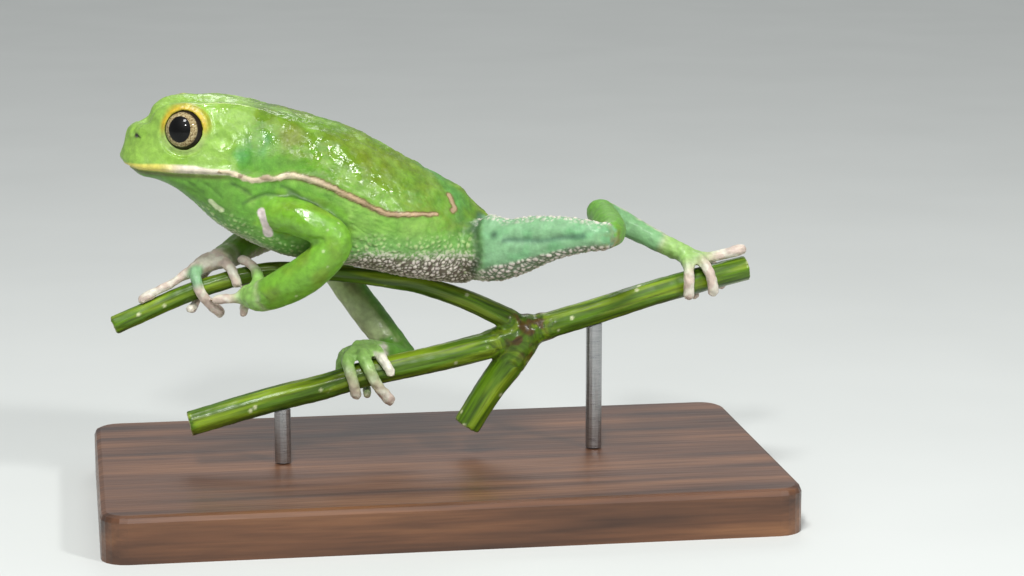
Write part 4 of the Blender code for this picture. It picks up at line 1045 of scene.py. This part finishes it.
def make_skin():
    """The frog's whole skin, sculpted and painted."""
    skin = smooth_skin()
    carve_mouth(skin)
    sculpt_folds(skin, MIDDLE_FOLDS, sides=(1,))
    sculpt_folds(skin, FACE_FOLDS)
    sculpt_folds(skin, FLANK_FOLDS)
    sculpt_folds(skin, LEFT_LIMB_FOLDS, sides=(1,))
    regions = Regions(skin)
    sculpt_lumps(skin, regions)
    sculpt_wrinkles(skin, regions)
    granules = sculpt_granules(skin, regions)
    paint_trunk(skin, regions, granules)
    paint_limbs(skin, regions, granules)
    paint_digits(skin, regions)
    paint_specks(skin, regions)
    paint_lips(skin, regions)
    paint_stripes(skin)
    paint_lids(skin)
    wet_skin(skin)
    write_colours(skin, "skin_colour")
    skin.thing.data.shade_smooth()
    give(skin.thing, skin_material())
    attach(skin.thing, "root")
    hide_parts(*FLESH)


def make_eye(side, name, material):
    """One eyeball with a slightly raised cornea, its own Z axis along the gaze."""
    mesh = bmesh.new()
    bmesh.ops.create_uvsphere(mesh, u_segments=96, v_segments=64, radius=EYE_RADIUS * MM)
    for vert in mesh.verts:
        rise = max(vert.co.z / (EYE_RADIUS * MM), 0.0)
        vert.co *= 1 + CORNEA_RISE / EYE_RADIUS * rise ** 6
    eye = add_object("eyeball_" + name, finished(mesh, "eyeball_" + name))
    eye.data.shade_smooth()
    axis = mirrored(GAZE, side)
    sideways = Vector((0, 0, 1)).cross(axis).normalized()
    turn = Matrix((sideways, axis.cross(sideways), axis)).transposed().to_4x4()
    eye.matrix_world = Matrix.Translation(mirrored(EYE_CENTRE, side) * MM) @ turn
    give(eye, material)
    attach(eye, "root")
    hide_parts("eye_" + name)


def tube_mesh(rows, steps=6):
    """A closed tube with flat ends along (x, y, z, radius) in millimetres."""
    curve = smooth_path([row[:3] for row in rows], steps)
    places = np.linspace(0, len(rows) - 1, len(curve))
    radii = np.interp(places, range(len(rows)), [row[3] for row in rows]) * MM
    mesh = bmesh.new()
    rings = []
    for point, radius, tangent in zip(curve, radii, np.gradient(curve, axis=0)):
        turn = Vector(tangent).to_track_quat("Z", "Y")
        ring = []
        for index in range(STEM_SIDES):
            angle = 2 * pi * index / STEM_SIDES
            ring.append(mesh.verts.new(Vector(point) + turn @ Vector((cos(angle), sin(angle), 0)) * radius))
        rings.append(ring)
    join_rings(mesh, rings, closed=False)
    mesh.faces.new(rings[0][::-1])
    mesh.faces.new(rings[-1])
    bmesh.ops.recalc_face_normals(mesh, faces=mesh.faces)
    return finished(mesh, "tube")


def stem_places(perch):
    """Each vertex's length along its nearest stem, and its offsets sideways and up from the stem's line."""
    best = np.full(len(perch.points), np.inf)
    place = np.zeros((len(perch.points), 3))
    for number, rows in enumerate(STEMS):
        path = smooth_path([row[:3] for row in rows])
        distance, share = perch.along(path, reach=1.0)
        closer = distance < best
        best[closer] = distance[closer]
        length = np.linalg.norm(np.diff(path, axis=0), axis=1).sum()
        steps = np.linspace(0, 1, len(path))
        line = np.stack([np.interp(share, steps, column) for column in path.T], axis=1)
        ahead, out, lean = (perch.points - line).T
        over = np.sign(lean) * np.hypot(lean, ahead)
        place[closer] = np.stack([share * length + number * 0.1, out, over], axis=1)[closer]
    return place


def paint_stems(perch, place, calm):
    """Lengthwise streaks, pale specks, a shaded underside, a scarred fork and pale cut ends."""
    streaks = noise_field(place * np.array((0.12, 1, 1)), 1.4, 71.0)
    perch.paint(STEM_LIGHT, step_between(0.45, 0.65, streaks) * 0.6)
    perch.paint(STEM_SPECK, speck_mask(perch.points, 2.6) * calm)
    # Painted shade on the stems' downward-facing side
    perch.paint(STEM_UNDERSIDE_SHADE, step_between(-0.2, -0.9, perch.up()) * 0.45)
    perch.paint(STEM_SCAR, (1 - calm) * step_between(0.52, 0.66, perch.noise(1.8, 9.0)) * 0.9)
    perch.paint(STEM_PITH, cut_ends(perch))


def make_perch():
    """The forked stem, fluted along its length, with pale cut ends and a scarred fork."""
    nodes = [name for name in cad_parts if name.startswith("perch_")]
    tubes = [tube_mesh(rows) for rows in STEMS]
    perch = Skin(closed_surface("perch_stems", ["perch_fork"], tubes, STEM_VOXEL), nodes, STEM_GREEN)
    perch.relax(STEM_SMOOTHING, np.ones(len(perch.points)))
    place = stem_places(perch)
    angle = np.arctan2(place[:, 2], place[:, 1])
    calm = step_between(*FORK_REACH, perch.away(FORK))
    wander = noise_field(place * np.array((0.3, 1, 1)), 6.0, 7.0) * 2.0
    flutes = np.cos(FLUTES * (angle + wander)) * FLUTE_DEPTH * calm
    lumps = (perch.noise(1.6, 5.0) - 0.5) * (0.12 + 0.35 * (1 - calm))
    perch.push((flutes + lumps) * MM)
    paint_stems(perch, place, calm)
    mesh = perch.thing.data
    write_colours(perch, "stem_colour")
    store(mesh, "stem_place", "FLOAT_VECTOR", "vector", place)
    mesh.shade_smooth()
    give(perch.thing, stem_material())
    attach(perch.thing, "root")
    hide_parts(*nodes)


def cut_ends(perch):
    """A mask of the flat cut at each stem's free end."""
    mask = np.zeros(len(perch.points))
    for rows, end, inner in FREE_ENDS:
        tip, before = np.array(rows[end][:3]), np.array(rows[inner][:3])
        outward = (tip - before) / np.linalg.norm(tip - before)
        near = perch.away(tip) < rows[end][3] + CUT_MARGIN
        mask = np.maximum(mask, near * step_between(0.6, 0.9, perch.normals @ outward))
    return mask


def finish_stand():
    """The wooden base and the steel rods, as packed."""
    give(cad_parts["stand_base"], wood_material())
    steel = steel_material()
    for name in ("stand_rod_front", "stand_rod_rear"):
        give(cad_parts[name], steel)


def make_floor():
    """A plain pale floor."""
    mesh = bmesh.new()
    bmesh.ops.create_grid(mesh, x_segments=1, y_segments=1, size=FLOOR_SIZE)
    floor = add_object("floor", finished(mesh, "floor"))
    give(floor, floor_material())


def area_light(name, place, target, size, power):
    """A square soft light aimed at a point, millimetres."""
    lamp = bpy.data.lights.new(name, "AREA")
    lamp.size = size * MM
    lamp.energy = power
    made = add_object(name, lamp)
    made.location = Vector(place) * MM
    aim = (Vector(target) - Vector(place)).normalized()
    made.rotation_euler = aim.to_track_quat("-Z", "Y").to_euler()


def make_lights():
    """Soft studio light, mostly from the camera's upper left."""
    world = bpy.data.worlds.new("studio")
    bpy.context.scene.world = world
    world.use_nodes = True
    background = world.node_tree.nodes["Background"]
    fill(world.node_tree, background, {"Color": WORLD_COLOUR, "Strength": WORLD_STRENGTH})
    for light in LIGHTS:
        area_light(*light)


def make_camera():
    """The camera, at the photograph's angle."""
    azimuth, elevation = radians(CAMERA_AZIMUTH), radians(CAMERA_ELEVATION)
    back = Vector((sin(azimuth) * cos(elevation), -cos(azimuth) * cos(elevation), sin(elevation)))
    distance = IMAGE_WIDTH * CAMERA_LENS / SENSOR_WIDTH * PIXEL_SIZE
    camera = bpy.data.cameras.new("camera")
    camera.lens = CAMERA_LENS
    camera.sensor_width = SENSOR_WIDTH
    camera.clip_start = 0.01
    made = add_object("camera", camera)
    made.location = Vector(CAMERA_TARGET) * MM + back * distance
    made.rotation_euler = (-back).to_track_quat("-Z", "Y").to_euler()
    bpy.context.scene.camera = made


def main():
    """Build every piece, the floor, the lights and the camera."""
    bpy.context.scene.view_settings.view_transform = "Standard"
    make_camera()
    make_lights()
    make_floor()
    finish_stand()
    make_perch()
    eye_look = eye_material()
    for side, name in zip(SIDES, ("left", "right")):
        make_eye(side, name, eye_look)
    make_skin()


main()
